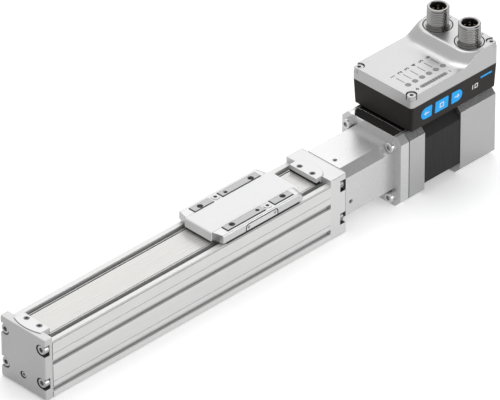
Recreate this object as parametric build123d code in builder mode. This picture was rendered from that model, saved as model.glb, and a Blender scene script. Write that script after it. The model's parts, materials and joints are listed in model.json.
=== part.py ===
from build123d import *
import math
import os

os.makedirs("parts", exist_ok=True)

# Spindle axis unit. Millimetres, X along the travel towards the motor, Y across, Z up.
# The origin is the middle of the profile's underside.

# Extruded profile
profile_length = 195.0
profile_width = 32.0
profile_height = 33.0
profile_edge = 0.7
profile_wall = 3.6
profile_floor = 3.6
foot_wall = 5.6
foot_height = 11.8
side_slot_opening = 3.0
side_slot_lip = 1.1
side_slot_width = 4.4
side_slot_depth = 2.3
side_slot_heights = (4.65, 20.35)
score_width = 0.3
score_turn = 45.0
score_heights = (8.8, 25.6)

# Screw line: height of the ball screw, neck and motor above the profile's underside
axis_height = 20.6

# Socket screws, with plain shanks drawn at the thread's core
m3_head_radius = 2.75
m3_head_height = 3.0
m3_core_radius = 1.23
m3_clearance = 0.45
m3_socket = 2.5
m2_head_radius = 1.55
m2_head_height = 1.2
m2_core_radius = 0.8
m2_socket = 1.3
thread_gap = 0.02
socket_sides = 6
socket_share = 0.55
head_edge_share = 0.12
counterbore_gap = 0.2
hole_end_gap = 0.4
countersink_gap = 0.05
flat_socket_share = 0.8
flat_socket_depth_share = 0.4

# End screws of both caps, measured from the profile's side and underside
end_screw_inset = 3.0
end_screw_low = 9.1
end_screw_rise = 20.0
end_screw_grip = 8.0

# Front end cap and drive cap
cap_height = 36.0
cap_edge = 0.45
front_cap_thickness = 5.2
front_pocket_depth = 3.4
front_pocket_radius = 3.2
drive_cap_thickness = 11.1
drive_pocket_depth = 4.2
drive_pocket_radius = 3.45
boss_radius = 8.6
boss_length = 6.0
tongue_width = 17.6
tongue_drop = 4.5
plug_height = 8.0
plug_radius = 1.5
plug_rim = 2.1
plug_rim_depth = 0.8
plug_sink = 0.4
plug_length = 2.8

# Cover strip, its carrier and the two end clamps
strip_width = 17.4
strip_thickness = 0.2
carrier_width = 20.2
carrier_thickness = 0.85
carrier_leg_width = 0.8
carrier_leg_drop = 2.1
carrier_sink = 0.65
clamp_width = 19.0
clamp_stand = 0.35
clamp_screw_spacing = 9.2
front_clamp_overhang = 4.7
front_clamp_inset = 1.8
front_clamp_bulge = 1.9
front_clamp_screw_inset = 2.15
drive_clamp_overhang = 4.3
drive_clamp_inset = 0.8
drive_clamp_bulge = 4.4
drive_clamp_screw_inset = 1.9
clamp_screw_grip = 3.0
clamp_foot = 2.6
clamp_lift = 1.0
clamp_gap = 0.06

# Linear guide
rail_width = 9.0
rail_height = 5.0
rail_end_gap = 7.5
rail_screw_count = 5
rail_screw_pitch = 40.0
rail_head_radius = 2.25
rail_head_height = 2.4
rail_head_sink = 0.2
rail_socket = 2.0
rail_core_radius = 1.0
rail_hole_floor = 0.6
runner_width = 20.0
runner_length = 42.0
runner_height = 7.3
runner_running_gap = 0.1

# Ball screw, its bearings and the end buffers
screw_radius = 4.0
screw_front_inset = 7.5
screw_rear_inset = 4.0
journal_radius = 3.0
support_bearing_radius = 6.5
support_bearing_width = 5.0
fixed_bearing_radius = 9.5
fixed_bearing_width = 5.0
inner_ring_wall = 1.4
outer_ring_wall = 1.4
drive_lip = 1.0
screw_passage_gap = 0.6
spigot_radius = 12.0
spigot_bore = 9.6
spigot_length = 7.4
retainer_length = 3.0
retainer_bore = 7.4
locknut_radius = 6.4
locknut_length = 4.0
locknut_slots = 4
locknut_slot_width = 1.6
locknut_slot_length = 2.4
hub_gap = 1.0
journal_front_gap = 1.0
buffer_radius = 8.0
buffer_bore = 5.2
buffer_length = 8.5
nut_radius = 7.5
nut_length = 28.8
nut_flange_radius = 8.0
nut_flange_length = 3.0
nut_running_gap = 0.08
seat_gap = 0.02

# Slide: plate with two arms, centre cover and the block inside
travel = 100.0
slide_home = 49.3
slide_width = 32.0
slide_length = 59.6
slide_clearance = 1.4
slide_thickness = 4.65
corner_length = 1.5
corner_width = 6.2
slide_edge = 0.7
tail_radius = 3.9
arm_thickness = 1.5
arm_gap = 0.3
arm_length = 44.0
nut_housing_length = 48.0
nut_housing_height = 16.4
saddle_screw_spacing = 34.0
saddle_screw_height = 15.6
saddle_head_radius = 2.2
saddle_core_radius = 1.0
saddle_screw_grip = 3.6
centre_cover_width = 19.0
centre_cover_length = 61.6
centre_cover_thickness = 2.9
centre_cover_drop = 0.5
centre_cover_gap = 0.1
centre_tail_radius = 2.4
centre_front_edge = 0.5
pad_height = 0.25
pad_reach = 23.1
pad_near_end = 3.4
pad_far_start = 10.1
pad_outer = 13.9
pad_inner = 9.75
mount_spacing_x = 36.0
mount_spacing_y = 23.0
mount_core_radius = 1.65
middle_hole_radius = 1.1
middle_hole_depth = 3.0
sleeve_offset = 6.6
sleeve_y = 12.1
sleeve_radius = 2.2
sleeve_bore = 1.0
sleeve_depth = 2.0
sleeve_hole_below = 1.5
side_cover_length = 21.8
side_cover_height = 3.3
side_cover_thickness = 1.0
side_cover_corner = 1.6
side_cover_shift = -1.0
side_cover_gap = 0.2
side_cover_screw_spacing = 18.7
side_cover_screw_radius = 0.95
side_cover_core_radius = 0.57
side_cover_screw_length = 2.6

# Coupling housing, a square neck with the motor flange
neck_length = 34.7
neck_width = 31.5
neck_chamfer = 4.5
neck_bore_gap = 0.02
flange_thickness = 5.9
grub_offset = 4.2
grub_inset = 3.75
grub_radius = 1.25
grub_sink = 0.5
grub_end_gap = 0.1

# Motor
motor_width = 42.3
motor_chamfer = 3.75
motor_screw_inset = 5.65
pilot_radius = 11.0
pilot_length = 2.0
bell_relief_length = 0.6
bell_relief_inset = 0.9
front_bell_length = 10.6
ear_front = 1.2
ear_rear = 2.4
lamination_inset = 0.3
lamination_chamfer = 7.3
lamination_length = 30.1
lamination_bore = 14.5
rear_bell_length = 24.7
rear_bell_edge = 1.2
bell_wall = 4.0
winding_bore = 11.9
winding_overhang = 3.0
rotor_radius = 11.5
rotor_length = 25.0
shaft_radius = 2.5
shaft_reach = 24.0
motor_bearing_radius = 8.0
motor_bearing_width = 5.0
washer_radius = 2.8
washer_thickness = 0.5
flange_screw_length = 11.0
tie_screw_grip = 4.8

# Shaft coupling
hub_radius = 9.0
hub_length = 9.0
jaw_count = 3
jaw_radius = 6.2
jaw_width = 3.2
jaw_depth = 4.0
jaw_gap = 0.1
spider_length = 4.0
spider_bore = 3.2

# Electronics box
box_length = 64.0
box_side_stand = 0.25
box_overlap = 1.3
box_corner = 2.0
gasket_thickness = 0.4
gasket_inset = 2.5
gasket_side_inset = 4.65
base_height = 15.25
base_draft = 3.6
base_edge = 0.9
base_floor = 2.0
box_wall = 2.3
wire_hole_radius = 5.0
seal_inset = 0.5
seal_width = 0.7
seal_depth = 0.8
base_screw_y = 10.0
base_screw_inset = 7.4
base_screw_rear = 12.0
base_screw_grip = 6.0
base_head_height = 1.8
rim_height = 7.2
plateau_rise = 5.8
cover_wall = 1.8
ramp_inner_radius = 8.6
ramp_crest_radius = 3.0
ramp_foot_radius = 8.0
ramp_angle = 45.0
cover_screw_inset = 2.6
cover_screw_pocket = 2.95
cover_screw_depth = 3.0
cover_head_radius = 2.6
cover_head_height = 2.4
cover_socket = 2.0
cover_core_radius = 1.0
cover_post_radius = 3.7
base_post_radius = 2.2
base_post_height = 6.0
cover_screw_grip = 5.0

# Round connectors on the plateau
connector_spacing = 22.6
connector_inset = 11.1
connector_height = 11.6
thread_crest = 5.95
thread_depth = 0.45
thread_pitch = 1.0
thread_flank_share = 0.4
connector_plain_top = 1.7
connector_chamfer = 0.5
connector_mouth_chamfer = 0.3
connector_collar_radius = 6.5
connector_collar_height = 0.9
connector_bore = 4.3
connector_socket_depth = 8.6
connector_disc_radius = 7.45
connector_disc_depth = 0.6
connector_seal_radius = 8.05
connector_stem_radius = 5.0
connector_stem_depth = 3.0
insert_length = 4.0
pin_radius = 0.5
pin_circle_radius = 2.5
pin_count = 4
pin_recess = 1.6

# Indicators and light bar
indicator_count = 6
indicator_pitch = 5.1
indicator_radius = 1.55
indicator_start = 7.6
indicator_side_inset = 9.9
lens_stand = 0.05
lens_gap = 0.05
bar_length = 19.3
bar_width = 2.1
bar_start = 10.5
bar_side_inset = 3.8

# Push buttons on the box's side, and the boards behind them
button_height = 7.1
button_gap = 2.3
side_button_length = 8.0
centre_button_length = 9.8
buttons_start = 7.5
buttons_z = 49.9
button_corner = 0.6
button_edge = 0.25
button_play = 0.15
button_proud = 0.2
button_travel = 0.4
button_lip = 0.6
button_lip_thickness = 0.6
button_lip_gap = 0.1
button_stem_radius = 1.2
button_stem_length = 0.7
board_thickness = 1.6
board_margin = 0.5
main_board_height = 7.0
switch_board_height = 11.8
standoff_radius = 2.0
standoff_spacing_x = 26.0
standoff_spacing_y = 22.0
standoff_shift_y = 3.0
switch_size = 4.0
switch_height = 1.2
switch_clearance = 0.1

# Stations along the travel
profile_front = -profile_length / 2
profile_rear = profile_length / 2
front_face = profile_front - front_cap_thickness
drive_rear = profile_rear + drive_cap_thickness
flange_front = drive_rear + neck_length
flange_rear = flange_front + flange_thickness
lamination_front = flange_rear + front_bell_length
lamination_rear = lamination_front + lamination_length
motor_rear = lamination_rear + rear_bell_length
box_front = flange_rear + box_overlap
box_rear = box_front + box_length

# Widths that follow from the motor's square
motor_screw_spacing = motor_width - 2 * motor_screw_inset
lamination_width = motor_width - 2 * lamination_inset
box_width = motor_width + 2 * box_side_stand
gasket_width = motor_width - 2 * gasket_side_inset
indicator_y = indicator_side_inset - box_width / 2
bar_y = bar_side_inset - box_width / 2

# Heights
carrier_top = profile_height - carrier_sink
carrier_under = carrier_top - carrier_thickness
strip_top = carrier_top + strip_thickness
slide_under = profile_height + slide_clearance
slide_top = slide_under + slide_thickness
pad_top = slide_top + pad_height
arm_outer = profile_width / 2 - profile_wall - arm_gap
arm_inner = arm_outer - arm_thickness
rail_top = profile_floor + rail_height
runner_top = profile_floor + rail_height + runner_height / 2
motor_top = axis_height + motor_width / 2
base_under = motor_top + gasket_thickness
floor_top = base_under + base_floor
rim_under = base_under + base_height
cover_top = rim_under + rim_height
plateau_top = cover_top + plateau_rise
box_middle = (box_front + box_rear) / 2
connector_x = box_rear - connector_inset
connector_y = connector_spacing / 2
connector_top = plateau_top + connector_height
end_screw_y = profile_width / 2 - end_screw_inset


def across(x, y=0.0, z=axis_height):
    """Plane square to the travel, with its local axes along Y and Z."""
    return Plane(origin=(x, y, z), x_dir=(0, 1, 0), z_dir=(1, 0, 0))


def facing(direction, points):
    """Planes at the points, each with its normal along the direction."""
    return [Plane(origin=point, z_dir=direction) for point in points]


def rod(radius, start, length, y=0.0, z=axis_height, mode=Mode.ADD):
    """Round bar along X in the part being built."""
    with BuildSketch(across(start, y, z)) as disc:
        Circle(radius)
    extrude(disc.sketch, amount=length, mode=mode)


def ring(outer, inner, start, length):
    """Ring around the screw line in the part being built."""
    with BuildSketch(across(start)) as washer:
        Circle(outer)
        Circle(inner, mode=Mode.SUBTRACT)
    extrude(washer.sketch, amount=length)


def block(low, high, mode=Mode.ADD):
    """Box between two opposite corners in the part being built."""
    with Locations(tuple((a + b) / 2 for a, b in zip(low, high))):
        Box(*[b - a for a, b in zip(low, high)], mode=mode)


def chamfered_bar(width, corner, start, length, mode=Mode.ADD):
    """Square bar around the screw line with its four long edges cut off."""
    with BuildSketch(across(start)) as outline:
        Rectangle(width, width)
        chamfer(outline.vertices(), corner)
    extrude(outline.sketch, amount=length, mode=mode)


def socket_screw(head_radius, head_height, core_radius, length, socket):
    """Screw with a hexagon socket, head up, its head's underside at the origin."""
    with BuildPart() as screw:
        Cylinder(head_radius, head_height, align=(Align.CENTER, Align.CENTER, Align.MIN))
        chamfer(screw.edges().group_by(Axis.Z)[-1], head_radius * head_edge_share)
        Cylinder(core_radius, length, align=(Align.CENTER, Align.CENTER, Align.MAX))
        with BuildSketch(Plane.XY.offset(head_height)):
            RegularPolygon(socket / math.sqrt(3), socket_sides)
        extrude(amount=-head_height * socket_share, mode=Mode.SUBTRACT)
    return screw.part


def countersunk_screw(head_radius, core_radius, length):
    """Flat-head screw, its head's top face at the origin and its shank below."""
    with BuildPart() as screw:
        with Locations((0, 0, -(head_radius - core_radius) / 2)):
            Cone(core_radius, head_radius, head_radius - core_radius)
        Cylinder(core_radius, length, align=(Align.CENTER, Align.CENTER, Align.MAX))
        with BuildSketch(Plane.XY):
            RegularPolygon(core_radius * flat_socket_share, socket_sides)
        extrude(amount=-head_radius * flat_socket_depth_share, mode=Mode.SUBTRACT)
    return screw.part


def finish(builder, name):
    """Label a piece and write it."""
    builder.part.label = name
    export_step(builder.part, f"parts/{name}.step")


def end_screw_points(x):
    """The four end-screw places of a cap, at one station."""
    heights = (end_screw_low, end_screw_low + end_screw_rise)
    return [(x, side * end_screw_y, z) for side in (-1, 1) for z in heights]


def flange_points(x):
    """The four motor screw places, at one station."""
    half = motor_screw_spacing / 2
    return [(x, y, axis_height + z) for y in (-half, half) for z in (-half, half)]


def base_screw_points(z):
    """Screw places between the electronics base and the bells: two front, then two rear."""
    stations = (flange_rear + base_screw_inset, lamination_rear + base_screw_rear)
    return [(x, y, z) for x in stations for y in (-base_screw_y, base_screw_y)]


# Profile: open channel with side slots and open screw channels
with BuildPart() as profile:
    with BuildSketch(across(profile_front, z=0)) as section:
        Rectangle(profile_width, profile_height, align=(Align.CENTER, Align.MIN))
        chamfer(section.vertices().group_by(Axis.Y)[-1], profile_edge)
        with Locations((0, foot_height)):
            Rectangle(profile_width - 2 * profile_wall, profile_height,
                      align=(Align.CENTER, Align.MIN), mode=Mode.SUBTRACT)
        with Locations((0, profile_floor)):
            Rectangle(profile_width - 2 * foot_wall, profile_height,
                      align=(Align.CENTER, Align.MIN), mode=Mode.SUBTRACT)
        with Locations(*[(side * end_screw_y, z) for side in (-1, 1)
                         for z in (end_screw_low, end_screw_low + end_screw_rise)]):
            Circle(m3_core_radius + thread_gap, mode=Mode.SUBTRACT)
        undercut = side_slot_depth - side_slot_lip
        for side in (-1, 1):
            face = side * profile_width / 2
            with Locations(*[(face, z) for z in side_slot_heights]):
                Rectangle(2 * side_slot_depth, side_slot_opening, mode=Mode.SUBTRACT)
            inner = face - side * (side_slot_lip + undercut / 2)
            with Locations(*[(inner, z) for z in side_slot_heights]):
                Rectangle(undercut, side_slot_width, mode=Mode.SUBTRACT)
            with Locations(*[(face, z) for z in score_heights]):
                Rectangle(score_width, score_width, rotation=score_turn, mode=Mode.SUBTRACT)
    extrude(amount=profile_length)
    with Locations(Plane.XY.offset(profile_floor)):
        with GridLocations(rail_screw_pitch, 0, rail_screw_count, 1):
            Hole(rail_core_radius + thread_gap, profile_floor - rail_hole_floor)
finish(profile, "profile")


# End screws, long enough to pass the cap and grip the profile
front_screw = socket_screw(m3_head_radius, m3_head_height, m3_core_radius,
                           front_cap_thickness - front_pocket_depth + end_screw_grip, m3_socket)
drive_screw = socket_screw(m3_head_radius, m3_head_height, m3_core_radius,
                           drive_cap_thickness - drive_pocket_depth + end_screw_grip, m3_socket)


def cap_plate(start, thickness):
    """Outer plate shared by both caps, in the part being built."""
    with BuildSketch(across(start, z=0)) as outline:
        Rectangle(profile_width, cap_height, align=(Align.CENTER, Align.MIN))
    extrude(outline.sketch, amount=thickness)


def screw_pockets(open_face, depth, radius, inwards):
    """Counterbores that break out through the cap's sides, with their clearance holes."""
    for side in (-1, 1):
        for z in (end_screw_low, end_screw_low + end_screw_rise):
            with BuildSketch(Plane(origin=(open_face, side * end_screw_y, z),
                                   x_dir=(0, side, 0), z_dir=(inwards, 0, 0))) as pocket:
                Circle(radius)
                Rectangle(profile_width, 2 * radius, align=(Align.MIN, Align.CENTER))
            extrude(pocket.sketch, amount=depth, mode=Mode.SUBTRACT)
            rod(m3_core_radius + m3_clearance, open_face,
                inwards * (drive_cap_thickness + front_cap_thickness), side * end_screw_y, z, Mode.SUBTRACT)


def tongue(inner_face, inwards):
    """Round boss and flat tongue that reach into the profile and carry the strip carrier."""
    rod(boss_radius, inner_face, inwards * boss_length)
    far = inner_face + inwards * boss_length
    half = tongue_width / 2
    block((min(inner_face, far), -half, carrier_under - tongue_drop),
          (max(inner_face, far), half, carrier_under))


def clamp_outline(inner_face, inwards, overhang, inset, bulge, grow=0.0):
    """Plan of a strip clamp: straight edge over the strip, curved edge in the cap."""
    half = clamp_width / 2 + grow
    near = inner_face + inwards * overhang
    corner = inner_face - inwards * (inset + grow)
    crown = inner_face - inwards * (inset + bulge + grow)
    with BuildLine() as outline:
        Polyline((corner, half), (near, half), (near, -half), (corner, -half))
        ThreePointArc((corner, -half), (crown, 0), (corner, half))
    make_face(outline.edges())


def clamp_screw_points(inner_face, inwards, inset, z):
    """Two screw places of a clamp, a little inside the profile's end."""
    x = inner_face + inwards * inset
    return [(x, side * clamp_screw_spacing / 2, z) for side in (-1, 1)]


clamp_top = cap_height + clamp_stand
clamp_hole_depth = clamp_top - carrier_under + clamp_screw_grip + hole_end_gap
front_clamp_points = clamp_screw_points(profile_front, 1, front_clamp_screw_inset, clamp_top)
drive_clamp_points = clamp_screw_points(profile_rear, -1, drive_clamp_screw_inset, clamp_top)


def clamp_holes(points, radius, depth):
    """Straight holes down from the clamp's top at the points."""
    with Locations(*points):
        Cylinder(radius, 2 * depth, mode=Mode.SUBTRACT)


# Front end cap with its bearing boss and tongue
with BuildPart() as front_end_cap:
    cap_plate(front_face, front_cap_thickness)
    chamfer(front_end_cap.faces().sort_by(Axis.X)[0].edges(), cap_edge)
    screw_pockets(front_face, front_pocket_depth, front_pocket_radius, 1)
    tongue(profile_front, 1)
    bearing_start = profile_front + boss_length - support_bearing_width
    rod(support_bearing_radius + seat_gap, bearing_start, support_bearing_width, mode=Mode.SUBTRACT)
    rod(journal_radius + inner_ring_wall, profile_front, boss_length, mode=Mode.SUBTRACT)
    with BuildSketch(Plane.XY.offset(strip_top)):
        clamp_outline(profile_front, 1, 0, front_clamp_inset, front_clamp_bulge, clamp_gap)
    extrude(amount=cap_height, mode=Mode.SUBTRACT)
    clamp_holes(front_clamp_points, m2_core_radius + thread_gap, clamp_hole_depth)
    rod(plug_radius + thread_gap, front_face, plug_sink + plug_length, z=plug_height, mode=Mode.SUBTRACT)
    rod(plug_rim, front_face, plug_rim_depth, z=plug_height, mode=Mode.SUBTRACT)
finish(front_end_cap, "front_end_cap")

with BuildPart() as front_cap_screws:
    with Locations(*facing((-1, 0, 0), end_screw_points(front_face + front_pocket_depth))):
        add(front_screw)
finish(front_cap_screws, "front_cap_screws")

with BuildPart() as cap_plug_screw:
    plug_face = front_face + plug_sink
    rod(plug_radius, plug_face, plug_length, z=plug_height)
    with BuildSketch(across(plug_face, z=plug_height)):
        RegularPolygon(m2_socket / math.sqrt(3), socket_sides)
    extrude(amount=plug_length / 2, mode=Mode.SUBTRACT)
finish(cap_plug_screw, "cap_plug_screw")


# Drive cap: bearing housing with a spigot for the neck
with BuildPart() as drive_cap:
    cap_plate(profile_rear, drive_cap_thickness)
    chamfer(drive_cap.faces().sort_by(Axis.X)[-1].edges(), cap_edge)
    screw_pockets(drive_rear, drive_pocket_depth, drive_pocket_radius, -1)
    rod(spigot_radius, drive_rear, spigot_length)
    rod(spigot_bore, drive_rear, spigot_length, mode=Mode.SUBTRACT)
    tongue(profile_rear, -1)
    rod(fixed_bearing_radius + seat_gap, profile_rear + drive_lip,
        drive_cap_thickness - drive_lip, mode=Mode.SUBTRACT)
    rod(screw_radius + screw_passage_gap, profile_rear - boss_length, boss_length + drive_lip,
        mode=Mode.SUBTRACT)
    with BuildSketch(Plane.XY.offset(strip_top)):
        clamp_outline(profile_rear, -1, 0, drive_clamp_inset, drive_clamp_bulge, clamp_gap)
    extrude(amount=cap_height, mode=Mode.SUBTRACT)
    clamp_holes(drive_clamp_points, m2_core_radius + thread_gap, clamp_hole_depth)
finish(drive_cap, "drive_cap")

with BuildPart() as drive_cap_screws:
    with Locations(*facing((1, 0, 0), end_screw_points(drive_rear - drive_pocket_depth))):
        add(drive_screw)
finish(drive_cap_screws, "drive_cap_screws")


# Strip clamps and their screws
clamp_screw = socket_screw(m2_head_radius, m2_head_height, m2_core_radius,
                           clamp_top - m2_head_height - carrier_under + clamp_screw_grip, m2_socket)

with BuildPart() as front_strip_clamp:
    with BuildSketch(Plane.XY.offset(strip_top)):
        clamp_outline(profile_front, 1, front_clamp_overhang, front_clamp_inset, front_clamp_bulge)
    extrude(amount=clamp_top - strip_top)
    clamp_holes(front_clamp_points, m2_head_radius + thread_gap, m2_head_height)
    clamp_holes(front_clamp_points, m2_core_radius + thread_gap, profile_height)
finish(front_strip_clamp, "front_strip_clamp")

with BuildPart() as drive_strip_clamp:
    with BuildSketch(Plane.XY.offset(strip_top)):
        clamp_outline(profile_rear, -1, drive_clamp_overhang, drive_clamp_inset, drive_clamp_bulge)
    extrude(amount=clamp_top - strip_top)
    lifted_end = profile_rear - clamp_foot
    block((lifted_end - profile_width, -profile_width, strip_top),
          (lifted_end, profile_width, strip_top + clamp_lift), mode=Mode.SUBTRACT)
    clamp_holes(drive_clamp_points, m2_head_radius + thread_gap, m2_head_height)
    clamp_holes(drive_clamp_points, m2_core_radius + thread_gap, profile_height)
finish(drive_strip_clamp, "drive_strip_clamp")

with BuildPart() as clamp_screws:
    with Locations((0, 0, -m2_head_height)):
        with Locations(*front_clamp_points, *drive_clamp_points):
            add(clamp_screw)
finish(clamp_screws, "clamp_screws")


# Cover strip on its carrier
with BuildPart() as cover_strip:
    block((profile_front, -strip_width / 2, carrier_top), (profile_rear, strip_width / 2, strip_top))
    clamp_holes(front_clamp_points + drive_clamp_points, m2_core_radius + thread_gap, profile_height)
finish(cover_strip, "cover_strip")

with BuildPart() as strip_carrier:
    half = carrier_width / 2
    block((profile_front, -half, carrier_under - carrier_leg_drop), (profile_rear, half, carrier_top))
    block((profile_front, -half + carrier_leg_width, carrier_under - carrier_leg_drop),
          (profile_rear, half - carrier_leg_width, carrier_under), mode=Mode.SUBTRACT)
    clamp_holes(front_clamp_points + drive_clamp_points, m2_core_radius + thread_gap, profile_height)
finish(strip_carrier, "strip_carrier")


# Guide rail and its screws
rail_front = profile_front + rail_end_gap
rail_seat = rail_top - rail_head_height - rail_head_sink
rail_screw = socket_screw(rail_head_radius, rail_head_height, rail_core_radius,
                          rail_seat - rail_hole_floor - hole_end_gap, rail_socket)

with BuildPart() as guide_rail:
    block((rail_front, -rail_width / 2, profile_floor), (-rail_front, rail_width / 2, rail_top))
    with Locations(Plane.XY.offset(rail_top)):
        with GridLocations(rail_screw_pitch, 0, rail_screw_count, 1):
            CounterBoreHole(rail_core_radius + thread_gap, rail_head_radius + thread_gap,
                            rail_top - rail_seat)
finish(guide_rail, "guide_rail")

with BuildPart() as rail_screws:
    with Locations(Plane.XY.offset(rail_seat)):
        with GridLocations(rail_screw_pitch, 0, rail_screw_count, 1):
            add(rail_screw)
finish(rail_screws, "rail_screws")


# Ball screw with its journals
screw_front = profile_front + screw_front_inset
screw_rear = profile_rear - screw_rear_inset
hub_front = drive_rear + locknut_length + hub_gap
journal_end = hub_front + hub_length - hub_gap

with BuildPart() as ball_screw:
    rod(screw_radius, screw_front, screw_rear - screw_front)
    rod(journal_radius, profile_front + journal_front_gap, screw_front - profile_front - journal_front_gap)
    rod(journal_radius, screw_rear, journal_end - screw_rear)
finish(ball_screw, "ball_screw")


# Bearings: outer rings stay with the frame, inner rings turn with the screw
support_start = profile_front + boss_length - support_bearing_width
fixed_starts = [drive_rear - (index + 1) * fixed_bearing_width for index in range(2)]

with BuildPart() as screw_bearing_outers:
    ring(support_bearing_radius, support_bearing_radius - outer_ring_wall,
         support_start, support_bearing_width)
    for start in fixed_starts:
        ring(fixed_bearing_radius, fixed_bearing_radius - outer_ring_wall,
             start + seat_gap, fixed_bearing_width - 2 * seat_gap)
finish(screw_bearing_outers, "screw_bearing_outers")

with BuildPart() as screw_bearing_inners:
    ring(journal_radius + inner_ring_wall, journal_radius + seat_gap, support_start, support_bearing_width)
    for start in fixed_starts:
        ring(journal_radius + inner_ring_wall, journal_radius + seat_gap,
             start + seat_gap, fixed_bearing_width - 2 * seat_gap)
finish(screw_bearing_inners, "screw_bearing_inners")

with BuildPart() as bearing_retainer:
    ring(spigot_bore - seat_gap, retainer_bore, drive_rear, retainer_length)
finish(bearing_retainer, "bearing_retainer")

with BuildPart() as bearing_locknut:
    ring(locknut_radius, journal_radius + seat_gap, drive_rear, locknut_length)
    with Locations(across(drive_rear + locknut_length)):
        with PolarLocations(locknut_radius, locknut_slots):
            Box(locknut_slot_width, locknut_slot_width, locknut_slot_length, mode=Mode.SUBTRACT)
finish(bearing_locknut, "bearing_locknut")

with BuildPart() as end_buffers:
    ring(buffer_radius, buffer_bore, profile_front + boss_length, buffer_length)
    ring(buffer_radius, buffer_bore, profile_rear - boss_length - buffer_length, buffer_length)
finish(end_buffers, "end_buffers")


# Slide plate: top plate with pads, and two arms through the slots beside the strip
housing_under = runner_top
housing_top = housing_under + nut_housing_height


def slide_plan(length, width, facet_length, facet_width):
    """Plan of the slide around its middle, with shallow facets at its four corners."""
    x = length / 2
    y = width / 2
    with BuildLine() as outline:
        Polyline((x - facet_length, y), (x, y - facet_width), (x, facet_width - y),
                 (x - facet_length, -y), (facet_length - x, -y), (-x, facet_width - y),
                 (-x, y - facet_width), (facet_length - x, y), close=True)
    make_face(outline.edges())


def pad_spans(side):
    """Start and end of the two raised pads on one side, measured from the slide's middle."""
    spans = ((-pad_reach, pad_near_end), (pad_far_start, pad_reach))
    return [tuple(sorted((-side * a, -side * b))) for a, b in spans]


def saddle_points(side, y):
    """Places of the cross screws that hold the nut housing between the arms."""
    return [(slide_home + end * saddle_screw_spacing / 2, side * y, saddle_screw_height) for end in (-1, 1)]


side_cover_x = slide_home + side_cover_shift
side_cover_z = slide_under + side_cover_height / 2


def side_cover_sketch(face, grow=0.0):
    """Side cover's face, a plate with round upper corners, in the sketch being built."""
    Rectangle(side_cover_length + 2 * grow, side_cover_height)
    with Locations((0, side_cover_height / 2)):
        Rectangle(side_cover_length + 2 * grow, 2 * grow + seat_gap)
    fillet(face.vertices().group_by(Axis.Y)[-1], side_cover_corner)


def side_plane(side):
    """Plane on the slide's side face at the middle of its side cover."""
    return Plane(origin=(side_cover_x, side * slide_width / 2, side_cover_z),
                 x_dir=(-side, 0, 0), z_dir=(0, side, 0))


with BuildPart() as carriage_plate:
    with BuildSketch(Plane.XY.offset(slide_under).shift_origin((slide_home, 0, slide_under))):
        slide_plan(slide_length, slide_width, corner_length, corner_width)
    extrude(amount=slide_thickness)
    upper_edges = carriage_plate.faces().sort_by(Axis.Z)[-1].edges()
    fillet(upper_edges.filter_by(Axis.X, reverse=True).sort_by(Axis.X)[-3:], tail_radius)
    side_edges = carriage_plate.edges().filter_by(Axis.X).group_by(Axis.Z)[-1]
    fillet(side_edges, slide_edge)
    for side in (-1, 1):
        for start, end in pad_spans(side):
            block((slide_home + start, min(side * pad_inner, side * pad_outer), slide_top - 1),
                  (slide_home + end, max(side * pad_inner, side * pad_outer), pad_top))
        block((slide_home - arm_length / 2, min(side * arm_inner, side * arm_outer), housing_under),
              (slide_home + arm_length / 2, max(side * arm_inner, side * arm_outer), slide_under + 1))
    channel_half = centre_cover_width / 2 + centre_cover_gap
    block((slide_home - slide_length, -channel_half, slide_top - centre_cover_thickness),
          (slide_home + slide_length, channel_half, pad_top + 1), mode=Mode.SUBTRACT)
    mount_points = [(slide_home + a * mount_spacing_x / 2, b * mount_spacing_y / 2, pad_top)
                    for a in (-1, 1) for b in (-1, 1)]
    with Locations(*mount_points):
        Hole(mount_core_radius, pad_top - slide_under)
    middle_points = [(slide_home, b * mount_spacing_y / 2, pad_top) for b in (-1, 1)]
    with Locations(*middle_points):
        Hole(middle_hole_radius, pad_height + middle_hole_depth)
    sleeve_points = [(slide_home - side * sleeve_offset, side * sleeve_y, slide_top)
                     for side in (-1, 1)]
    with Locations(*sleeve_points):
        Hole(sleeve_radius + seat_gap, sleeve_depth)
        Hole(sleeve_bore, sleeve_depth + sleeve_hole_below)
    for side in (-1, 1):
        with BuildSketch(side_plane(side)) as recess:
            side_cover_sketch(recess, side_cover_gap)
        extrude(amount=-side_cover_thickness, mode=Mode.SUBTRACT)
        screw_face = slide_width / 2 - side_cover_thickness
        side_points = [(side_cover_x + end * side_cover_screw_spacing / 2, side * screw_face, side_cover_z)
                       for end in (-1, 1)]
        with Locations(*facing((0, side, 0), side_points)):
            Hole(side_cover_core_radius + thread_gap, side_cover_screw_length)
        with Locations(*facing((0, side, 0), saddle_points(side, arm_outer))):
            CounterSinkHole(saddle_core_radius + thread_gap, saddle_head_radius + countersink_gap,
                            arm_thickness)
finish(carriage_plate, "carriage_plate")


# Centre cover: smooth lid with a skirt at each end
with BuildPart() as carriage_cover:
    half = centre_cover_width / 2
    reach = centre_cover_length / 2
    inner_reach = slide_length / 2 + centre_cover_gap
    skirt_under = slide_under - centre_cover_drop
    block((slide_home - reach, -half, skirt_under), (slide_home + reach, half, slide_top))
    block((slide_home - inner_reach, -half, skirt_under),
          (slide_home + inner_reach, half, slide_top - centre_cover_thickness), mode=Mode.SUBTRACT)
    top_ends = carriage_cover.edges().filter_by(Axis.Y).group_by(Axis.Z)[-1].sort_by(Axis.X)
    fillet(top_ends[-1], centre_tail_radius)
    front_edge = carriage_cover.edges().filter_by(Axis.Y).group_by(Axis.Z)[-1].sort_by(Axis.X)[0]
    chamfer(front_edge, centre_front_edge)
finish(carriage_cover, "carriage_cover")


# Side covers and their screws
side_cover_screw = countersunk_screw(side_cover_screw_radius, side_cover_core_radius,
                                     side_cover_screw_length)

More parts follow.
